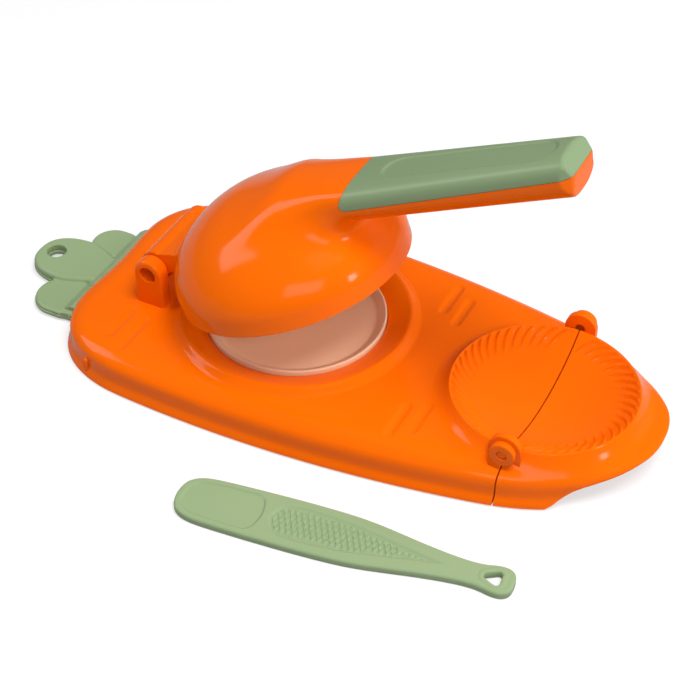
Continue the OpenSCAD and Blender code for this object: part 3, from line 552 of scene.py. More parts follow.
def upward(height, x, y, step):
    """Normals of a height field."""
    gx = height(x + step, y) - height(x - step, y)
    gy = height(x, y + step) - height(x, y - step)
    return unit(np.stack([-gx, -gy, np.full_like(gx, 2 * step)], 1))


def tray_normals(pockets):
    """Tells which points lie on the tray's top, and its normals there."""
    def height(x, y):
        return tray_height(x, y, pockets)

    def normals(p):
        x, y, z = p.T
        on = (np.abs(z - deck - height(x, y)) < 0.02) & (inset(x, y) > -0.01)
        return on, upward(height, x, y, 0.04)
    return normals


def moulding_group():
    """Shader group for moulded plastic: slow drift of colour and gloss, and a faint skin ripple."""
    group = bpy.data.node_groups.new("moulded skin", "ShaderNodeTree")
    for name in ("Colour", "Drift"):
        group.interface.new_socket(name, in_out="INPUT", socket_type="NodeSocketColor")
    for name in ("Gloss low", "Gloss high", "Grain size", "Grain depth"):
        group.interface.new_socket(name, in_out="INPUT", socket_type="NodeSocketFloat")
    for name, kind in (("Colour", "Color"), ("Roughness", "Float"), ("Normal", "Vector")):
        group.interface.new_socket(name, in_out="OUTPUT", socket_type="NodeSocket" + kind)
    node, join = group.nodes.new, group.links.new
    given, result = node("NodeGroupInput"), node("NodeGroupOutput")
    place = node("ShaderNodeTexCoord")
    cloud = node("ShaderNodeTexNoise")
    cloud.inputs["Scale"].default_value = 34
    cloud.inputs["Detail"].default_value = 3
    join(place.outputs["Object"], cloud.inputs["Vector"])
    tint = node("ShaderNodeMix")
    tint.data_type = "RGBA"
    join(cloud.outputs["Fac"], tint.inputs["Factor"])
    join(given.outputs["Colour"], tint.inputs["A"])
    join(given.outputs["Drift"], tint.inputs["B"])
    join(tint.outputs["Result"], result.inputs["Colour"])
    gloss = node("ShaderNodeMapRange")
    join(cloud.outputs["Fac"], gloss.inputs["Value"])
    join(given.outputs["Gloss low"], gloss.inputs["To Min"])
    join(given.outputs["Gloss high"], gloss.inputs["To Max"])
    join(gloss.outputs["Result"], result.inputs["Roughness"])
    grain = node("ShaderNodeTexNoise")
    grain.inputs["Detail"].default_value = 2
    join(place.outputs["Object"], grain.inputs["Vector"])
    join(given.outputs["Grain size"], grain.inputs["Scale"])
    bump = node("ShaderNodeBump")
    bump.inputs["Distance"].default_value = 0.0002
    join(given.outputs["Grain depth"], bump.inputs["Strength"])
    join(grain.outputs["Fac"], bump.inputs["Height"])
    join(bump.outputs["Normal"], result.inputs["Normal"])
    return group


moulded_skin = moulding_group()


def moulded_plastic(name, colour, drift, gloss, grain, specular):
    """Plastic that drifts between two colours and two roughnesses, with grain of a size and a depth."""
    material = bpy.data.materials.new(name)
    material.use_nodes = True
    tree = material.node_tree
    shader = tree.nodes["Principled BSDF"]
    skin = tree.nodes.new("ShaderNodeGroup")
    skin.node_tree = moulded_skin
    skin.inputs["Colour"].default_value = (*colour, 1)
    skin.inputs["Drift"].default_value = (*drift, 1)
    skin.inputs["Gloss low"].default_value, skin.inputs["Gloss high"].default_value = gloss
    skin.inputs["Grain size"].default_value, skin.inputs["Grain depth"].default_value = grain
    tree.links.new(skin.outputs["Colour"], shader.inputs["Base Color"])
    tree.links.new(skin.outputs["Roughness"], shader.inputs["Roughness"])
    tree.links.new(skin.outputs["Normal"], shader.inputs["Normal"])
    shader.inputs["IOR"].default_value = 1.5
    shader.inputs["Specular IOR Level"].default_value = specular
    return material


orange = moulded_plastic("orange plastic", (0.93, 0.145, 0.001), (0.9, 0.134, 0.001), (0.1, 0.15),
                         (700, 0.012), 0.15)


def dress(obj, material, body, slot, *nodes):
    """Gives a piece its material; its slot is not used. A piece made here also gets its body, and hides its
    solids.
    """
    obj.data.materials.clear()
    obj.data.materials.append(material)
    if body:
        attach(obj, body)
    if nodes:
        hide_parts(*nodes)
    return obj


def arc(x, z, r, first, last, steps):
    """Points round a centre, from one angle to another in degrees."""
    turns = [math.radians(first + (last - first) * i / steps) for i in range(steps + 1)]
    return [(x + r * math.cos(t), z + r * math.sin(t)) for t in turns]


hinge_x, hinge_z, ear_in, ear_t, ear_r, pin_r = -70.2, deck + 18.8, 19.4, 8.0, 8.0, 4.45
fold_z = deck + fold_h
pin_play, ear_root = 0.08, 1.6
trays = {}
for tray_name, tray_side in (("board", -1), ("tip", 1)):
    tray_bm = tray_skin(tray_side < 0)
    hang_skirt(tray_bm)
    cut_at_seam(tray_bm, tray_side)
    trays[tray_name] = link(tray_name, tray_bm)
    thicken(trays[tray_name], skin_t)
for side in (-1, 1):
    ear = arc(hinge_x, hinge_z, ear_r, 0, 180, 24)
    ear += [(hinge_x - ear_r, deck - ear_root), (hinge_x + ear_r, deck - ear_root)]
    y0, y1 = sorted((side * ear_in, side * (ear_in + ear_t)))
    add_part(trays["board"], upright_plate(ear, y0, y1, (hinge_x, hinge_z, pin_r + pin_play), 1.7, 5))
    outer = arc(seam_x, fold_z, outer_ear_r, -88, 180, 28) + [(seam_x - outer_ear_r, deck - 2.5),
                                                              (seam_x - seam_gap / 2, deck - 2.5)]
    y0, y1 = sorted((side * outer_ear_y, side * (outer_ear_y + outer_ear_t)))
    add_part(trays["board"], upright_plate(outer, y0, y1, (seam_x, fold_z, fold_pin_r + pin_play), 0.6))
    inner = arc(seam_x, fold_z, inner_ear_r, 0, 268, 34) + [(seam_x + seam_gap / 2, deck - 2),
                                                            (seam_x + inner_ear_r, deck - 2)]
    y0, y1 = sorted((side * inner_ear_y, side * (inner_ear_y + inner_ear_t)))
    add_part(trays["tip"], upright_plate(inner, y0, y1, None, 0.6))
centre_post_r, post_r, post_top, foot_t, foot_stem_r = 14.8, 8.8, deck - 3.4, 1.8, 2.5
foot_posts = [(0, 0, centre_post_r)]
foot_posts += [(x, side * y, post_r) for x, y in ((-72, 54), (112, 48)) for side in (-1, 1)]
for x, y, r in foot_posts:
    add_part(trays["board"], rod(x, y, foot_t + 0.02, post_top, r, foot_stem_r + 0.05))
screw_r, screw_play, screw_ring_r = 1.45, 0.3, 30
cup_low, cup_top, cup_r = 8.6, deck - 5.5, 6.35
screw_places = arc(0, 0, screw_ring_r, 90, 330, 2)
for x, y in screw_places:
    add_part(trays["board"], rod(x, y, cup_low, cup_top, cup_r, screw_r + screw_play))
rib_t, rib_low, rib_top, rib_end, rib_end_top, rib_inset = 2, 3, deck - 2, 9, deck - 9, 1.2
for x in (-82.5, 76):
    half = side_w(x)
    for y0, y1, top in ((rib_inset - half, rib_end - half, rib_end_top), (rib_end - half, -16, rib_top),
                        (-16, 16, rib_top), (16, half - rib_end, rib_top),
                        (half - rib_end, half - rib_inset, rib_end_top)):
        add_part(trays["board"], block(x - rib_t / 2, y0, rib_low, x + rib_t / 2, y1, top))
tongue_screw_x, tongue_screw_y, tongue_z, tongue_t = tail_x + 19.5, 18.0, 3.6, 3.0
for side in (-1, 1):
    add_part(trays["board"], rod(tongue_screw_x, side * tongue_screw_y, tongue_z + tongue_t, deck - 2,
                                 screw_r + 3, screw_r + 0.1))
smooth_by_surface(trays["board"], tray_normals(True))
smooth_by_surface(trays["tip"], tray_normals(False))
dress(trays["board"], orange, "base", "orange_plastic", "base_board")
dress(trays["tip"], orange, "tip", "orange_plastic", "mould_tip")
for node in ("mould_pin_near", "mould_pin_far"):
    dress(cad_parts[node], orange, None, "orange_plastic")
pin_in, pin_out, pin_bore, pin_bore_in = 9.0, ear_in + ear_t - 1.5, 3.8, 14.0
for side, node in ((-1, "lid_pin_near"), (1, "lid_pin_far")):
    pin_bm = turned([(0, pin_in), (pin_r, pin_in), (pin_r, pin_out - 0.9), (pin_bore, pin_out),
                     (pin_bore, pin_bore_in), (0, pin_bore_in)], 64, axis=(0, 1, 0))
    bmesh.ops.scale(pin_bm, vec=(1, side, 1), verts=pin_bm.verts)
    bmesh.ops.recalc_face_normals(pin_bm, faces=pin_bm.faces)
    bmesh.ops.translate(pin_bm, vec=(hinge_x, 0, hinge_z), verts=pin_bm.verts)
    pin = link("hollow_" + node, pin_bm)
    smooth(pin)
    dress(pin, orange, "lid", "orange_plastic", node)

# ---- Lid ----
# The orange dome, its hinge barrel and the lower half of the handle are one moulding, hollow below.
# It is drawn closed as one blended surface, turned open on its hinge, and carries the green cap.
lid_open = math.radians(19.2)
dome_r, dome_rise, dome_full = 59.7, 40.0, 1.79
rim_z = deck + 6.4
lip_z = rim_z + 7.9
shell_t = 2.4
grip_mid_x, grip_half, grip_slope, grip_taper, grip_soft = 110.0, 17.2, 0.0954, 0.0493, 3.2
grip_h, cap_h, under_h, grip_end_x, cap_x, cap_lean, cap_corner_r = 55.4, 9.4, 10.9, 168.0, 50.5, 0.5, 2.6
neck_x, neck_l, neck_flare, neck_rise, neck_fillet = 56.0, 68.0, 3.4, 2.0, 16.0
dive_x, dive_bend, dive_deep, neck_back_x, neck_back_r = 20.0, 0.0225, 25.0, -14.0, 12.0
tab_half, tab_r, barrel_fillet = ear_in - 0.4, ear_r + 0.5, 3.5
web_x, web_low, web_high = -40.0, hinge_z - 4, hinge_z + tab_r - 1.5
facet_round, facet_in, lid_voxel = 1.6, 2.8, 1.0


def grip_split(x):
    return deck + grip_h + grip_slope * (x - grip_mid_x)


def neck_share(x):
    return np.clip((neck_x - x) / neck_l, 0, 1)


def grip_spine(x):
    """Height of the handle's middle, which dives into the dome behind the neck."""
    return grip_split(x) - dive_deep * (1 - np.exp(-dive_bend * np.maximum(0, dive_x - x) ** 2 / dive_deep))


def grip_wide(x):
    return grip_half - grip_taper * (x - grip_mid_x) + neck_flare * (1.5 * neck_share(x)) ** 2


def grip_up(x):
    return cap_h - 0.0106 * (x - grip_mid_x) + neck_rise * np.sin(np.pi * neck_share(x))


def grip_down(x):
    return under_h + 0.0267 * (x - grip_mid_x) + 20 * np.minimum(neck_share(x), 0.6)


def dome_field(x, y, z):
    r, h = np.hypot(x, y), z - lip_z
    q = ((r / dome_r) ** dome_full + (np.maximum(h, 0) / dome_rise) ** dome_full) ** (1 / dome_full)
    return np.hypot(r, np.maximum(h, 0)) * (1 - 1 / q)


def grip_field(x, y, z):
    off = z - grip_spine(x)
    tall = np.where(off > 0, grip_up(x), grip_down(x))
    power = np.where(off > 0, grip_soft - 1.1 * np.minimum(1, 2 * neck_share(x)), 2.6)
    start = np.maximum(0, neck_back_x - x)
    q = (np.abs(y) / grip_wide(x)) ** power + (np.abs(off) / tall) ** power + (start / neck_back_r) ** power
    return np.sqrt(y ** 2 + off ** 2 + start ** 2) * (1 - 1 / np.maximum(q ** (1 / power), 1e-3))


def barrel_field(x, y, z):
    barrel = np.hypot(x - hinge_x, z - hinge_z) - tab_r
    web = np.maximum(np.maximum(z - web_high, web_low - z), np.maximum(hinge_x - x, x - web_x))
    return np.maximum(np.minimum(barrel, web), np.abs(y) - tab_half)


def with_slope(field, p):
    """A field's value at each point, and its gradient."""
    step = 0.02
    slope = [field(*(p + step * axis).T) - field(*(p - step * axis).T) for axis in np.eye(3)]
    return field(*p.T), np.stack(slope, 1) / (2 * step)


def blend(a, b, radius, inside=False, steady=False):
    """Joins two fields with a fillet, or keeps what both hold with a rounded edge when inside is set.

    The fillet is smaller where the two lie nearly along each other, unless it is set steady.
    """
    sign = -1 if inside else 1
    va, vb = sign * a[0], sign * b[0]
    k = radius if steady else radius * np.clip((1 - (unit(a[1]) * unit(b[1])).sum(1)) / 0.5, 0.02, 1)
    h = np.clip(0.5 + 0.5 * (vb - va) / k, 0, 1)
    value = vb * (1 - h) + va * h - k * h * (1 - h)
    return sign * value, a[1] * h[:, None] + b[1] * (1 - h)[:, None]


def plane_field(p, point, normal):
    n = np.array(normal, float) / np.linalg.norm(normal)
    return (p - np.array(point, float)) @ n, np.tile(n, (len(p), 1))


def grip_planes(end):
    """The facets at the handle's end: slanted above and below the parting line, with cut corners."""
    split, wide = grip_split(end), grip_wide(end)
    slants = [((end, 0, split), (8.8, 0, 4.7)), ((end, 0, split), (under_h, 0, -2.5))]
    return slants + [((end, s * (wide - facet_in), split), (5, s * 9, 0)) for s in (-1, 1)]


def grip_body(p):
    body = with_slope(grip_field, p)
    for point, normal in grip_planes(grip_end_x):
        body = blend(body, plane_field(p, point, normal), facet_round, inside=True)
    return body


def lid_surface(p):
    whole = blend(with_slope(dome_field, p), grip_body(p), neck_fillet, steady=True)
    return blend(whole, with_slope(barrel_field, p), barrel_fillet)


def press_onto(bm, surface, rounds, relaxed=2):
    """Moves a mesh's points onto a field's zero surface, relaxed between the first rounds."""
    for turn in range(rounds):
        if 0 < turn <= relaxed:
            bmesh.ops.smooth_vert(bm, verts=bm.verts, factor=0.5, use_axis_x=True, use_axis_y=True,
                                  use_axis_z=True)
        p = np.array([v.co for v in bm.verts])
        for step in range(4):
            value, slope = surface(p)
            push = value / np.maximum((slope ** 2).sum(1), 0.05)
            p = p - np.clip(push, -1.5, 1.5)[:, None] * slope
        for v, co in zip(bm.verts, p):
            v.co = co


def grip_loft(bm, first, last, points=48, step=6.0):
    """The handle's plain body, closed, as rings drawn along it."""
    angles = np.linspace(-math.pi, math.pi, points + 1)[:-1]
    rings = []
    for x in np.linspace(first, last, int((last - first) / step) + 1):
        power = np.where(angles > 0, 2 / grip_soft, 2 / 2.6)
        tall = np.where(angles > 0, grip_up(x), grip_down(x))
        c, s = np.cos(angles), np.sin(angles)
        y = grip_wide(x) * np.sign(c) * np.abs(c) ** power
        z = grip_spine(x) + tall * np.sign(s) * np.abs(s) ** power
        rings.append([bm.verts.new((x, *yz)) for yz in zip(y, z)])
    for one, two in zip(rings, rings[1:]):
        for i in range(points):
            bm.faces.new((one[i - 1], one[i], two[i], two[i - 1]))
    bm.faces.new(rings[0])
    bm.faces.new(rings[-1])


def remeshed(name, bm, voxel):
    """The bmesh's outer skin as an even mesh of small squares."""
    bmesh.ops.recalc_face_normals(bm, faces=bm.faces)
    obj = link(name, bm)
    even = obj.modifiers.new("even", "REMESH")
    even.mode = "VOXEL"
    even.voxel_size = voxel * MM
    settle(obj)
    new = bmesh.new()
    new.from_mesh(obj.data)
    bmesh.ops.scale(new, vec=(1 / MM, 1 / MM, 1 / MM), verts=new.verts)
    mesh = obj.data
    bpy.data.objects.remove(obj)
    bpy.data.meshes.remove(mesh)
    return new


def cap_planes():
    """The cap is what lies above the parting line and beyond its leaning front, with a round corner."""
    corner = Vector((cap_x, 0, grip_split(cap_x)))
    front, parting = Vector((-1, 0, cap_lean)).normalized(), Vector((grip_slope, 0, -1)).normalized()
    middle = (front + parting).normalized()
    centre = corner - middle * (cap_corner_r / front.dot(middle))
    normals = [front, (front + middle).normalized(), middle, (middle + parting).normalized(), parting]
    return [(centre + n * cap_corner_r, n) for n in normals]


def turn_open(obj):
    """Turns what was drawn closed to the open pose in which the lid stands at rest."""
    pivot = Vector((hinge_x, 0, hinge_z)) * MM
    turn = Matrix.Translation(pivot) @ Matrix.Rotation(-lid_open, 4, "Y")
    obj.data.transform(turn @ Matrix.Translation(-pivot))


def skin_normals(surface, opened=0.0):
    """Tells which points lie on a surface turned open about the lid's hinge, and its normals there."""
    back_turn = np.array(Matrix.Rotation(opened, 3, "Y"))
    pivot = np.array((hinge_x, 0, hinge_z))

    def normals(p):
        value, slope = surface((p - pivot) @ back_turn.T + pivot)
        return np.abs(value) < 0.03, unit(slope @ back_turn)
    return normals


dome_profile = [(0, lip_z + dome_rise)]
for a in np.linspace(math.pi / 2 - 0.04, 0, 24):
    c, s = math.cos(a) ** (2 / dome_full), math.sin(a) ** (2 / dome_full)
    dome_profile.append((dome_r * c, lip_z + dome_rise * s))
lid_bm = turned(dome_profile + [(dome_r, rim_z - 8), (0, rim_z - 8)], 96)
grip_loft(lid_bm, neck_back_x, grip_end_x)
barrel = arc(hinge_x, hinge_z, tab_r, 90, 270, 24)
barrel += [(hinge_x + 4, web_low), (web_x, web_low), (web_x, web_high)]
absorb(lid_bm, upright_plate(barrel, -tab_half, tab_half))
lid_bm = remeshed("lid", lid_bm, lid_voxel)
press_onto(lid_bm, lid_surface, 4)
rim_cut = rim_z + 2.0
slice_at(lid_bm, (0, 0, rim_cut), (0, 0, -1), cut_off=True)
for point, normal in cap_planes():
    slice_at(lid_bm, point, normal)
under_cap = [f for f in lid_bm.faces if all((f.calc_center_median() - point).dot(normal) < 0
                                            for point, normal in cap_planes())]
bmesh.ops.delete(lid_bm, geom=under_cap, context="FACES")
rim = [e for e in lid_bm.edges if e.is_boundary and all(abs(v.co.z - rim_cut) < 1e-3 for v in e.verts)]
for z, r in ((rim_z + 0.5, dome_r), (rim_z + 0.15, dome_r - 0.15), (rim_z, dome_r - 0.5)):
    rim, new = draw_rim(lid_bm, rim)
    for v in new:
        share = r / math.hypot(v.co.x, v.co.y)
        v.co = (v.co.x * share, v.co.y * share, z)
bmesh.ops.recalc_face_normals(lid_bm, faces=lid_bm.faces)
lid = link("lid", lid_bm)
thicken(lid, shell_t)
ram_r, ram_t, ram_low = plate_r - 3.3, 2.4, deck - 1.2 + 1.8
ram_ring_r, ram_ring_t = ram_r - 1.6, 2.2
add_part(lid, rod(0, 0, ram_low + ram_t, lip_z + 19, ram_ring_r, ram_ring_r - ram_ring_t, steps=96))
grip_screws = (82, 142)
for x in grip_screws:
    low = float(grip_split(x) - grip_down(x))
    add_part(lid, rod(x, 0, low + 1.4, float(grip_split(x)) - 2, screw_r + 3, screw_r + screw_play))
turn_open(lid)
smooth_by_surface(lid, skin_normals(lid_surface, lid_open))
dress(lid, orange, "lid", "orange_plastic", "lid_shell")

# ---- Cap ----
# The handle's cap is a satin green moulding, screwed on from below. The oval panel on it is bare.
panel_from, panel_to, panel_half, panel_depth, panel_wall = 68.5, 158.0, 9.3, 1.0, 1.8
cap_t, cap_round, cap_voxel = shell_t - 0.2, 0.5, 0.5


def cap_surface(p):
    body = with_slope(lambda x, y, z: grip_field(x, y, z) + panel_sink(x, y, z), p)
    for point, normal in grip_planes(grip_end_x):
        body = blend(body, plane_field(p, point, normal), facet_round, inside=True)
    for point, normal in cap_planes():
        body = blend(body, plane_field(p, point, normal), cap_round, inside=True)
    return body


def panel_sink(x, y, z):
    middle, half = (panel_from + panel_to) / 2, (panel_to - panel_from) / 2 - panel_half
    off = np.hypot(np.maximum(np.abs(x - middle) - half, 0), y) - panel_half
    return panel_depth * ease(-off / panel_wall) * (z > grip_split(x) + 4)


cap_bm = bmesh.new()
grip_loft(cap_bm, cap_x - 6, grip_end_x, step=4.0)
cap_bm = remeshed("cap", cap_bm, 1.1 * cap_voxel)
for point, normal in cap_planes():
    slice_at(cap_bm, point, normal, cut_off=True)
    bmesh.ops.holes_fill(cap_bm, edges=[e for e in cap_bm.edges if e.is_boundary])
bmesh.ops.triangulate(cap_bm, faces=[f for f in cap_bm.faces if len(f.verts) > 4])
cap_bm = remeshed("cap", cap_bm, cap_voxel)
press_onto(cap_bm, cap_surface, 4)
parting_point, parting_normal = cap_planes()[-1]
bottom = [f for f in cap_bm.faces
          if all(abs((v.co - parting_point).dot(parting_normal)) < 0.12 for v in f.verts)]
bmesh.ops.delete(cap_bm, geom=bottom, context="FACES")
cap = link("cap", cap_bm)
thicken(cap, cap_t)
for x in grip_screws:
    split = float(grip_split(x))
    add_part(cap, rod(x, 0, split - 2, split + float(grip_up(x)) - 1.5, screw_r + 2.4))
turn_open(cap)
smooth_by_surface(cap, skin_normals(cap_surface, lid_open))
# The cap is the same sage plastic as the leaf; its green is painted darker here as painted shade.
cap_green_painted_shade = moulded_plastic("green cap plastic with painted shade", (0.222, 0.308, 0.165), (0.212, 0.294, 0.156), (0.3, 0.38),
                            (2400, 0.04), 0.3)
dress(cap, cap_green_painted_shade, "lid", "sage_plastic", "handle_cap")

# ---- Press plates ----
# Two cream discs of polypropylene. The lower one is a shallow dish let into the board, held by three
# screws from below. The upper one is a flat cup pushed on the ring inside the dome.
plate_rim_h, plate_dip, plate_t, ram_h, ram_clear = 1.7, 1.2, 2.4, 8.0, 0.2
# The cream here is painted darker and more orange than the plates' own colour: painted shade and orange
# bounce light from the dome above them.
cream_with_painted_bounce = moulded_plastic("cream plastic with painted bounce", (0.88, 0.56, 0.36), (0.85, 0.53, 0.33), (0.26, 0.34),
                        (1500, 0.02), 0.3)
seat_z, face_z, rim_top = deck - plate_dip - plate_t, deck - plate_dip, deck + plate_rim_h
dish = [(0, seat_z), (plate_r - 0.5, seat_z), (plate_r, seat_z + 0.5)]
dish += arc(plate_r - 0.75, rim_top - 0.75, 0.75, 0, 150, 10)
dish += arc(plate_r - 6.2, face_z + 2.6, 2.6, -35, -90, 8) + [(0, face_z)]
lower_plate = link("lower_plate", turned(dish))
for x, y in screw_places:
    add_part(lower_plate, rod(x, y, seat_z - 5, seat_z + 0.5, screw_r + 2.5, screw_r + 0.05))
smooth(lower_plate)
dress(lower_plate, cream_with_painted_bounce, "base", "cream_plastic", "lower_press_plate")
cup_in = ram_ring_r + ram_clear
cup = [(0, ram_low)] + arc(ram_r - 1.0, ram_low + 1.0, 1.0, -90, 0, 6)
cup += [(ram_r, ram_low + ram_h - 0.3), (ram_r - 0.3, ram_low + ram_h), (cup_in + 0.2, ram_low + ram_h),
        (cup_in, ram_low + ram_h - 0.2), (cup_in, ram_low + ram_t), (0, ram_low + ram_t)]
upper_plate = link("upper_plate", turned(cup))
turn_open(upper_plate)
smooth(upper_plate)
dress(upper_plate, cream_with_painted_bounce, "lid", "cream_plastic", "upper_press_plate")

# ---- Leaf ----
# Two layers of satin green plastic screwed together make the carrot's leaf, with a hole to hang the
# press by. The upper layer has a ramp against the board and a tongue that is screwed inside it.
leaf_end_x, lobe_half, lobe_root, lobe_end_l, lobe_bow = -158.5, 17.2, 11.0, 24.5, 2.4
side_lobe_r, side_lobe_y, side_stretch = {1: 12.0, -1: 13.8}, {1: 22.3, -1: -27.0}, {1: 3.5, -1: 9.0}
side_lobe_x = tail_x - 16.5
lobe_shift, root_half, ramp_run = -1.2, 37.0, 8.3
leaf_low, leaf_split, side_lobe_z, leaf_z, ramp_z, lower_inset = 1.0, 3.6, 5.4, 7.5, 11.5, -0.3
hang_x, hang_r, hang_step = leaf_end_x + 10, 5.25, 0.45
lobe_wide_x, lobe_root_x, leaf_fit, leaf_voxel = leaf_end_x + lobe_end_l, tail_x - ramp_run + 1, 0.25, 0.45


def middle_lobe(x, y):
    back, off = lobe_wide_x - x, np.abs(y - lobe_shift)
    q = ((np.maximum(back, 0) / lobe_end_l) ** lobe_bow + (off / lobe_half) ** lobe_bow) ** (1 / lobe_bow)
    along = np.clip((x - lobe_wide_x) / (lobe_root_x - lobe_wide_x), 0, 1)
    narrowed = off - lobe_half + (lobe_half - lobe_root) * along ** 1.3
    return np.where(back > 0, np.hypot(back, off) * (1 - 1 / np.maximum(q, 1e-3)), narrowed)


def side_lobe(x, y, side):
    along = np.clip(x, side_lobe_x, side_lobe_x + side_stretch[side])
    return np.hypot(x - along, y - side_lobe_y[side]) - side_lobe_r[side]


def soft_max(a, b, k):
    return -soft_min(-a, -b, k)


def clear_of_board(x, y, z):
    return inset(x, y) + leaf_fit + flare(z)


def upper_leaf(x, y, z):
    middle = soft_max(middle_lobe(x, y), z - leaf_z, 2.6)
    sides = np.minimum(side_lobe(x, y, 1), side_lobe(x, y, -1))
    root = soft_max(np.abs(y) - root_half, tail_x - ramp_run - x, 0.4)
    sides = soft_max(soft_min(sides, root, 0.4), z - side_lobe_z, 2.2)
    slope = (z - side_lobe_z - (x - tail_x + ramp_run) * (ramp_z - side_lobe_z) / ramp_run) * 0.8
    ramp = soft_max(root, soft_max(slope, z - ramp_z, 0.4), 0.5)
    whole = soft_min(soft_min(middle, sides, 0.7), ramp, 0.5)
    whole = soft_max(whole, leaf_split + 0.05 - z, 0.7)
    whole = soft_max(whole, hang_r - np.hypot(x - hang_x, y), 0.8)
    return soft_max(whole, clear_of_board(x, y, z), 0.3)


def lower_leaf(x, y, z):
    whole = np.minimum(middle_lobe(x, y), np.minimum(side_lobe(x, y, 1), side_lobe(x, y, -1)))
    root = np.maximum(np.abs(y) - root_half, tail_x - ramp_run - x)
    whole = soft_min(whole, root, 0.4) + lower_inset
    whole = soft_max(soft_max(whole, z - leaf_split + 0.05, 0.8), leaf_low - z, 1.4)
    whole = soft_max(whole, hang_r - hang_step - np.hypot(x - hang_x, y), 0.7)
    return soft_max(whole, clear_of_board(x, y, z), 0.3)


def leaf_layer(name, z0, tops, surface, tongue=None):
    """One layer: rough plates joined as one skin, then drawn onto the layer's smooth surface."""
    root_x = tail_x + 3
    a = np.linspace(-np.pi / 2, np.pi / 2, 24)
    end = np.stack([lobe_wide_x - lobe_end_l * np.cos(a) ** (2 / lobe_bow),
                    lobe_half * np.sign(np.sin(a)) * np.abs(np.sin(a)) ** (2 / lobe_bow) + lobe_shift], 1)
    middle = [*end[::-1], (lobe_root_x, lobe_shift - lobe_root), (root_x, lobe_shift - lobe_root),
              (root_x, lobe_shift + lobe_root), (lobe_root_x, lobe_shift + lobe_root)]
    plates = [[middle, arc(hang_x, 0, hang_r, 0, 360, 32)[:-1]]]
    for side in (-1, 1):
        y, r = side_lobe_y[side], side_lobe_r[side]
        inner = side_lobe_x + side_stretch[side] + r
        plates.append([arc(side_lobe_x, y, r, 90, 270, 23) + [(inner, y - r + 3), (inner, y + r - 3)]])
    plates.append([[(tail_x - ramp_run, -root_half), (root_x, -root_half), (root_x, root_half),
                    (tail_x - ramp_run, root_half)]])
    rough = bmesh.new()
    for loops, top in zip(plates, tops):
        absorb(rough, filled_plate([[(x, y, z0) for x, y in loop] for loop in loops], (0, 0, top - z0)))
    layer_bm = remeshed(name, rough, leaf_voxel)
    press_onto(layer_bm, lambda p: with_slope(surface, p), 5)
    layer = link(name, layer_bm)
    if tongue:
        add_part(layer, tongue)
    smooth_by_surface(layer, skin_normals(lambda p: with_slope(surface, p)))
    return layer


sage = moulded_plastic("green plastic", (0.29, 0.39, 0.21), (0.275, 0.37, 0.195), (0.32, 0.42),
                       (2400, 0.04), 0.3)
tongue = block(tail_x - 2, -30, leaf_split + 0.06, tail_x + 24, 30, leaf_split + 3)
upper_tops = leaf_z, side_lobe_z, side_lobe_z, side_lobe_z + 2
leaf_upper = leaf_layer("leaf_upper", leaf_split, upper_tops, upper_leaf, tongue)
dress(leaf_upper, sage, "base", "sage_plastic", "leaf_top")
leaf_lower = leaf_layer("leaf_lower", leaf_low, (leaf_split,) * 4, lower_leaf)
dress(leaf_lower, sage, "base", "sage_plastic", "leaf_bottom")

# ---- Spatula ----
# A flat filling spatula of the same green plastic lies loose in front of the board. It has a shallow
# scoop, a sunk grip with crossed ridges for the thumb, and a small three-sided hole.
spatula_place, spatula_turn, spatula_t, blade_half = (1.9, -120.6), math.radians(6.9), 4.0, 14.6
blade = ((0, 0.05), (0.6, 0.38), (2.6, 0.63), (6.5, 0.82), (13, 0.93), (26, 0.97), (44, 1), (64, 1.01),
         (82, 0.98), (94, 0.9), (106, 0.76), (118, 0.61), (130, 0.49), (140, 0.43), (147, 0.45),
         (152.5, 0.55), (157, 0.56), (160, 0.47), (161.6, 0.3), (162, 0.05))
grip_panel = ((45.5, 0), (46.2, 0.28), (48.2, 0.52), (53, 0.71), (66, 0.74), (84, 0.64), (100, 0.44),
              (116, 0.2), (131, 0.02))
blade_edge, scoop_depth, scoop_rim, scoop_end, scoop_wall, scoop_bow = 1.3, 0.75, 2.6, 43.0, 1.3, 0.025
sunk_depth, sunk_wall, ridge_h, ridge_half, ridge_pitch = 0.95, 1.9, 0.55, 0.45, 3.0
ridge_angle = math.radians(64)
hole_x, hole_tip, hole_corner, hole_edge, hole_rim = 152.0, (-2.6, 0, 1.6), (2.0, 2.2, 1.8), 0.9, 0.3


def rounded_loop(points, rounds=3):
    """The points' polygon with its corners cut off again and again, which leaves a smooth curve."""
    loop = np.array(points, float)
    for cut in range(rounds):
        after = np.roll(loop, -1, 0)
        loop = np.stack([0.75 * loop + 0.25 * after, 0.25 * loop + 0.75 * after], 1).reshape(-1, 2)
    return loop


def mirrored_loop(half):
    points = [(d, -w * blade_half) for d, w in half] + [(d, w * blade_half) for d, w in half[::-1]]
    return rounded_loop(points)


def depth_in(loop, x, y):
    """How far inside a loop each point lies, and below zero outside it."""
    best = np.full(x.shape, 1e9)
    inside = np.zeros(x.shape, bool)
    for (ax, ay), (bx, by) in zip(loop, np.roll(loop, -1, 0)):
        length = max((bx - ax) ** 2 + (by - ay) ** 2, 1e-12)
        t = np.clip(((x - ax) * (bx - ax) + (y - ay) * (by - ay)) / length, 0, 1)
        best = np.minimum(best, (x - ax - t * (bx - ax)) ** 2 + (y - ay - t * (by - ay)) ** 2)
        if ay != by:
            inside ^= ((ay > y) != (by > y)) & (x < (bx - ax) * (y - ay) / (by - ay) + ax)
    return np.where(inside, 1, -1) * np.sqrt(best)


def hole_loop(steps=14):
    """Round the three-sided hole: an arc for each corner, joined by straight sides."""
    corners = [(hole_corner[0], hole_corner[1], hole_corner[2], -15, 115), (*hole_tip, 115, 245),
               (hole_corner[0], -hole_corner[1], hole_corner[2], 245, 375)]
    points = []
    for x, y, r, first, last in corners:
        points += arc(hole_x + x, y, r, first, last, steps)
    return np.array(points)


blade_loop, sunk_loop, ring_loop = mirrored_loop(blade), mirrored_loop(grip_panel), hole_loop()


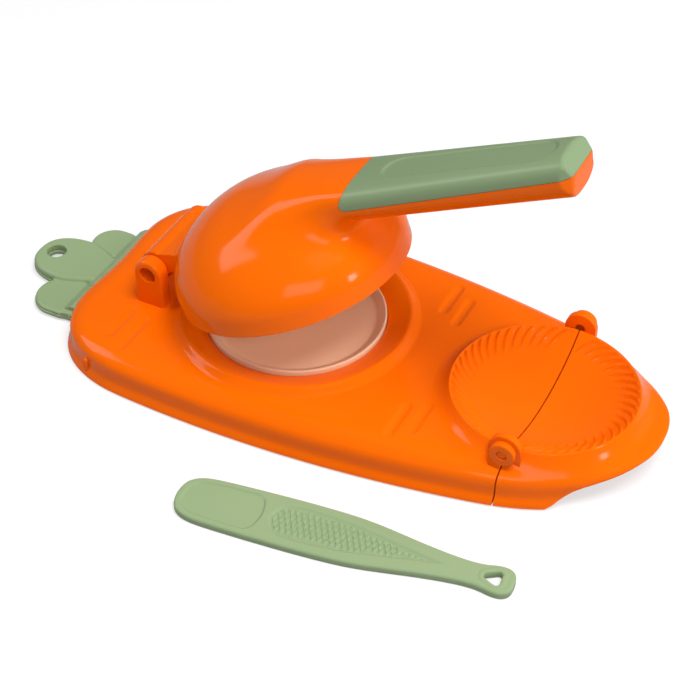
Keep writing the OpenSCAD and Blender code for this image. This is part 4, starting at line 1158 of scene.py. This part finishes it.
def ridges(x, y, lean):
    place = (x + lean * y / math.tan(ridge_angle)) / ridge_pitch
    off = np.abs(place - np.round(place)) * ridge_pitch * math.sin(ridge_angle)
    return np.maximum(0, 1 - off / ridge_half)


def scoop_line(x, y, edge):
    return soft_max(scoop_rim - edge, x - scoop_end + scoop_bow * y ** 2, 4)


def rounded_drop(inside, r):
    """How far a rounded edge of radius r has dropped, at a distance inside it."""
    return r - np.sqrt(np.maximum(r ** 2 - np.clip(r - inside, 0, r) ** 2, 0))


def blade_top(x, y):
    """Height of the spatula's top above its flat middle."""
    edge = depth_in(blade_loop, x, y)
    top = -rounded_drop(edge, blade_edge)
    top = top - scoop_depth * ease(-scoop_line(x, y, edge) / scoop_wall)
    sunk = depth_in(sunk_loop, x, y)
    crossed = np.maximum(ridges(x, y, 1), ridges(x, y, -1)) * ease((sunk - sunk_wall + 0.4) / 0.8)
    top = top - sunk_depth * ease(sunk / sunk_wall) + ridge_h * crossed
    ring = np.maximum(-depth_in(ring_loop, x, y), 0)
    top = top + hole_rim * ease((2.8 - ring) / 1.2)
    return top - rounded_drop(ring, hole_edge)


def inner_loop(loop, d):
    """A loop moved in by d along its own normals."""
    along = np.roll(loop, -1, 0) - np.roll(loop, 1, 0)
    moved = loop + d * unit(np.stack([-along[:, 1], along[:, 0]], 1))
    if d <= 0:
        return moved
    return moved[depth_in(loop, *moved.T) > d - 0.02]


def ridge_lines():
    """The foot, crest and foot of each crossed ridge, as straight lines across the sunk grip."""
    lines = []
    first, last = grip_panel[0][0], grip_panel[-1][0]
    for lean in (1, -1):
        for turn in range(int(first / ridge_pitch) - 3, int(last / ridge_pitch) + 4):
            for off in (-ridge_half, 0, ridge_half):
                y = np.linspace(-blade_half, blade_half, 120)
                x = turn * ridge_pitch + off / math.sin(ridge_angle) - lean * y / math.tan(ridge_angle)
                inside = depth_in(sunk_loop, x, y) > sunk_wall - 0.35
                if inside.sum() > 1:
                    ends = np.flatnonzero(inside)[[0, -1]]
                    lines.append(np.stack([x[ends], y[ends]], 1))
    return lines


def spatula_skin():
    """The spatula's top: edges along its rims and ridges, and more corners where it curves."""
    rings = [blade_loop] + [inner_loop(blade_loop, d) for d in (0.12, 0.4, 0.8, 1.3)]
    rings += [ring_loop] + [inner_loop(ring_loop, -d) for d in (0.1, 0.3, 0.6, 0.9, 1.6, 2.2, 2.8)]
    rings += [inner_loop(sunk_loop, d) for d in (0, 0.4, 0.85, 1.3, 1.7)]
    gx, gy = (g.ravel() for g in np.meshgrid(np.arange(2, 160, 1.6), np.arange(-13.6, 13.7, 1.6)))
    plain = (depth_in(blade_loop, gx, gy) > 1.6) & (depth_in(sunk_loop, gx, gy) < -0.5)
    plain &= depth_in(ring_loop, gx, gy) < -3
    dots = list(zip(gx[plain], gy[plain]))
    gx, gy = (g.ravel() for g in np.meshgrid(np.arange(1, scoop_end + 1, 0.3), np.arange(-13, 13.1, 0.3)))
    wall = scoop_line(gx, gy, depth_in(blade_loop, gx, gy))
    at_wall = (wall > -scoop_wall - 0.25) & (wall < 0.25)
    dots += list(zip(gx[at_wall], gy[at_wall]))
    return drawn_skin(rings, ridge_lines(), lambda x, y: spatula_t + blade_top(x, y), dots,
                      lambda x, y: depth_in(ring_loop, x, y) > 0)


def close_below(bm, soft=0.5):
    """Draws the rim down to the table with a softened lower edge, and closes the underside."""
    rim = [e for e in bm.edges if e.is_boundary]
    for z, pull in ((1.9, 0), (soft, 0), (0.3 * soft, 0.3 * soft), (0, soft)):
        rim, verts = draw_rim(bm, rim)
        if pull:
            x, y = np.array([v.co[:2] for v in verts]).T
            step = 0.05
            around = [np.minimum(depth_in(blade_loop, x + dx, y + dy), -depth_in(ring_loop, x + dx, y + dy))
                      for dx, dy in ((step, 0), (-step, 0), (0, step), (0, -step))]
            inwards = unit(np.stack([around[0] - around[1], around[2] - around[3]], 1))
            share = pull - (0 if z else 0.3 * soft)
            for v, (dx, dy) in zip(verts, inwards):
                v.co.x += dx * share
                v.co.y += dy * share
        for v in verts:
            v.co.z = z
    bmesh.ops.triangle_fill(bm, use_beauty=True, edges=rim, normal=(0, 0, -1))
    bmesh.ops.recalc_face_normals(bm, faces=bm.faces)


def blade_normals(p):
    """Tells which points lie on the placed spatula's top, and its normals there."""
    turn = np.array(Matrix.Rotation(spatula_turn, 3, "Z"))
    x, y, z = ((p - (*spatula_place, 0)) @ turn).T
    on = (np.abs(z - spatula_t - blade_top(x, y)) < 0.02) & (depth_in(blade_loop, x, y) > 0.02)
    return on, upward(blade_top, x, y, 0.05) @ turn.T


spatula_bm = spatula_skin()
close_below(spatula_bm)
bmesh.ops.rotate(spatula_bm, cent=(0, 0, 0), matrix=Matrix.Rotation(spatula_turn, 3, "Z"),
                 verts=spatula_bm.verts)
bmesh.ops.translate(spatula_bm, vec=(*spatula_place, 0), verts=spatula_bm.verts)
spatula = link("spatula_blade", spatula_bm)
smooth_by_surface(spatula, blade_normals)
dress(spatula, sage, "spatula", "sage_plastic", "spatula")

# ---- Screws and feet ----
# Zinc-plated screws hold the lower plate, the cap and the leaf from below.
# Five black rubber feet are pressed into posts under the board.
steel = bpy.data.materials.new("zinc screws")
steel.use_nodes = True
steel_shader = steel.node_tree.nodes["Principled BSDF"]
steel_shader.inputs["Metallic"].default_value = 1
steel_noise = steel.node_tree.nodes.new("ShaderNodeTexNoise")
steel_noise.inputs["Scale"].default_value = 900
steel_place = steel.node_tree.nodes.new("ShaderNodeTexCoord")
steel.node_tree.links.new(steel_place.outputs["Object"], steel_noise.inputs["Vector"])
steel_shade = steel.node_tree.nodes.new("ShaderNodeMix")
steel_shade.data_type = "RGBA"
steel_shade.inputs["A"].default_value = (0.62, 0.62, 0.64, 1)
steel_shade.inputs["B"].default_value = (0.5, 0.49, 0.47, 1)
steel.node_tree.links.new(steel_noise.outputs["Fac"], steel_shade.inputs["Factor"])
steel.node_tree.links.new(steel_shade.outputs["Result"], steel_shader.inputs["Base Color"])
steel_shader.inputs["Roughness"].default_value = 0.34
rubber = moulded_plastic("rubber", (0.03, 0.03, 0.03), (0.045, 0.045, 0.045), (0.7, 0.85), (1800, 0.2), 0.3)
for name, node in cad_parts.items():
    if "screws" in name:
        dress(node, steel, None, "steel_screws")
    if "foot" in name:
        dress(node, rubber, None, "rubber_feet")
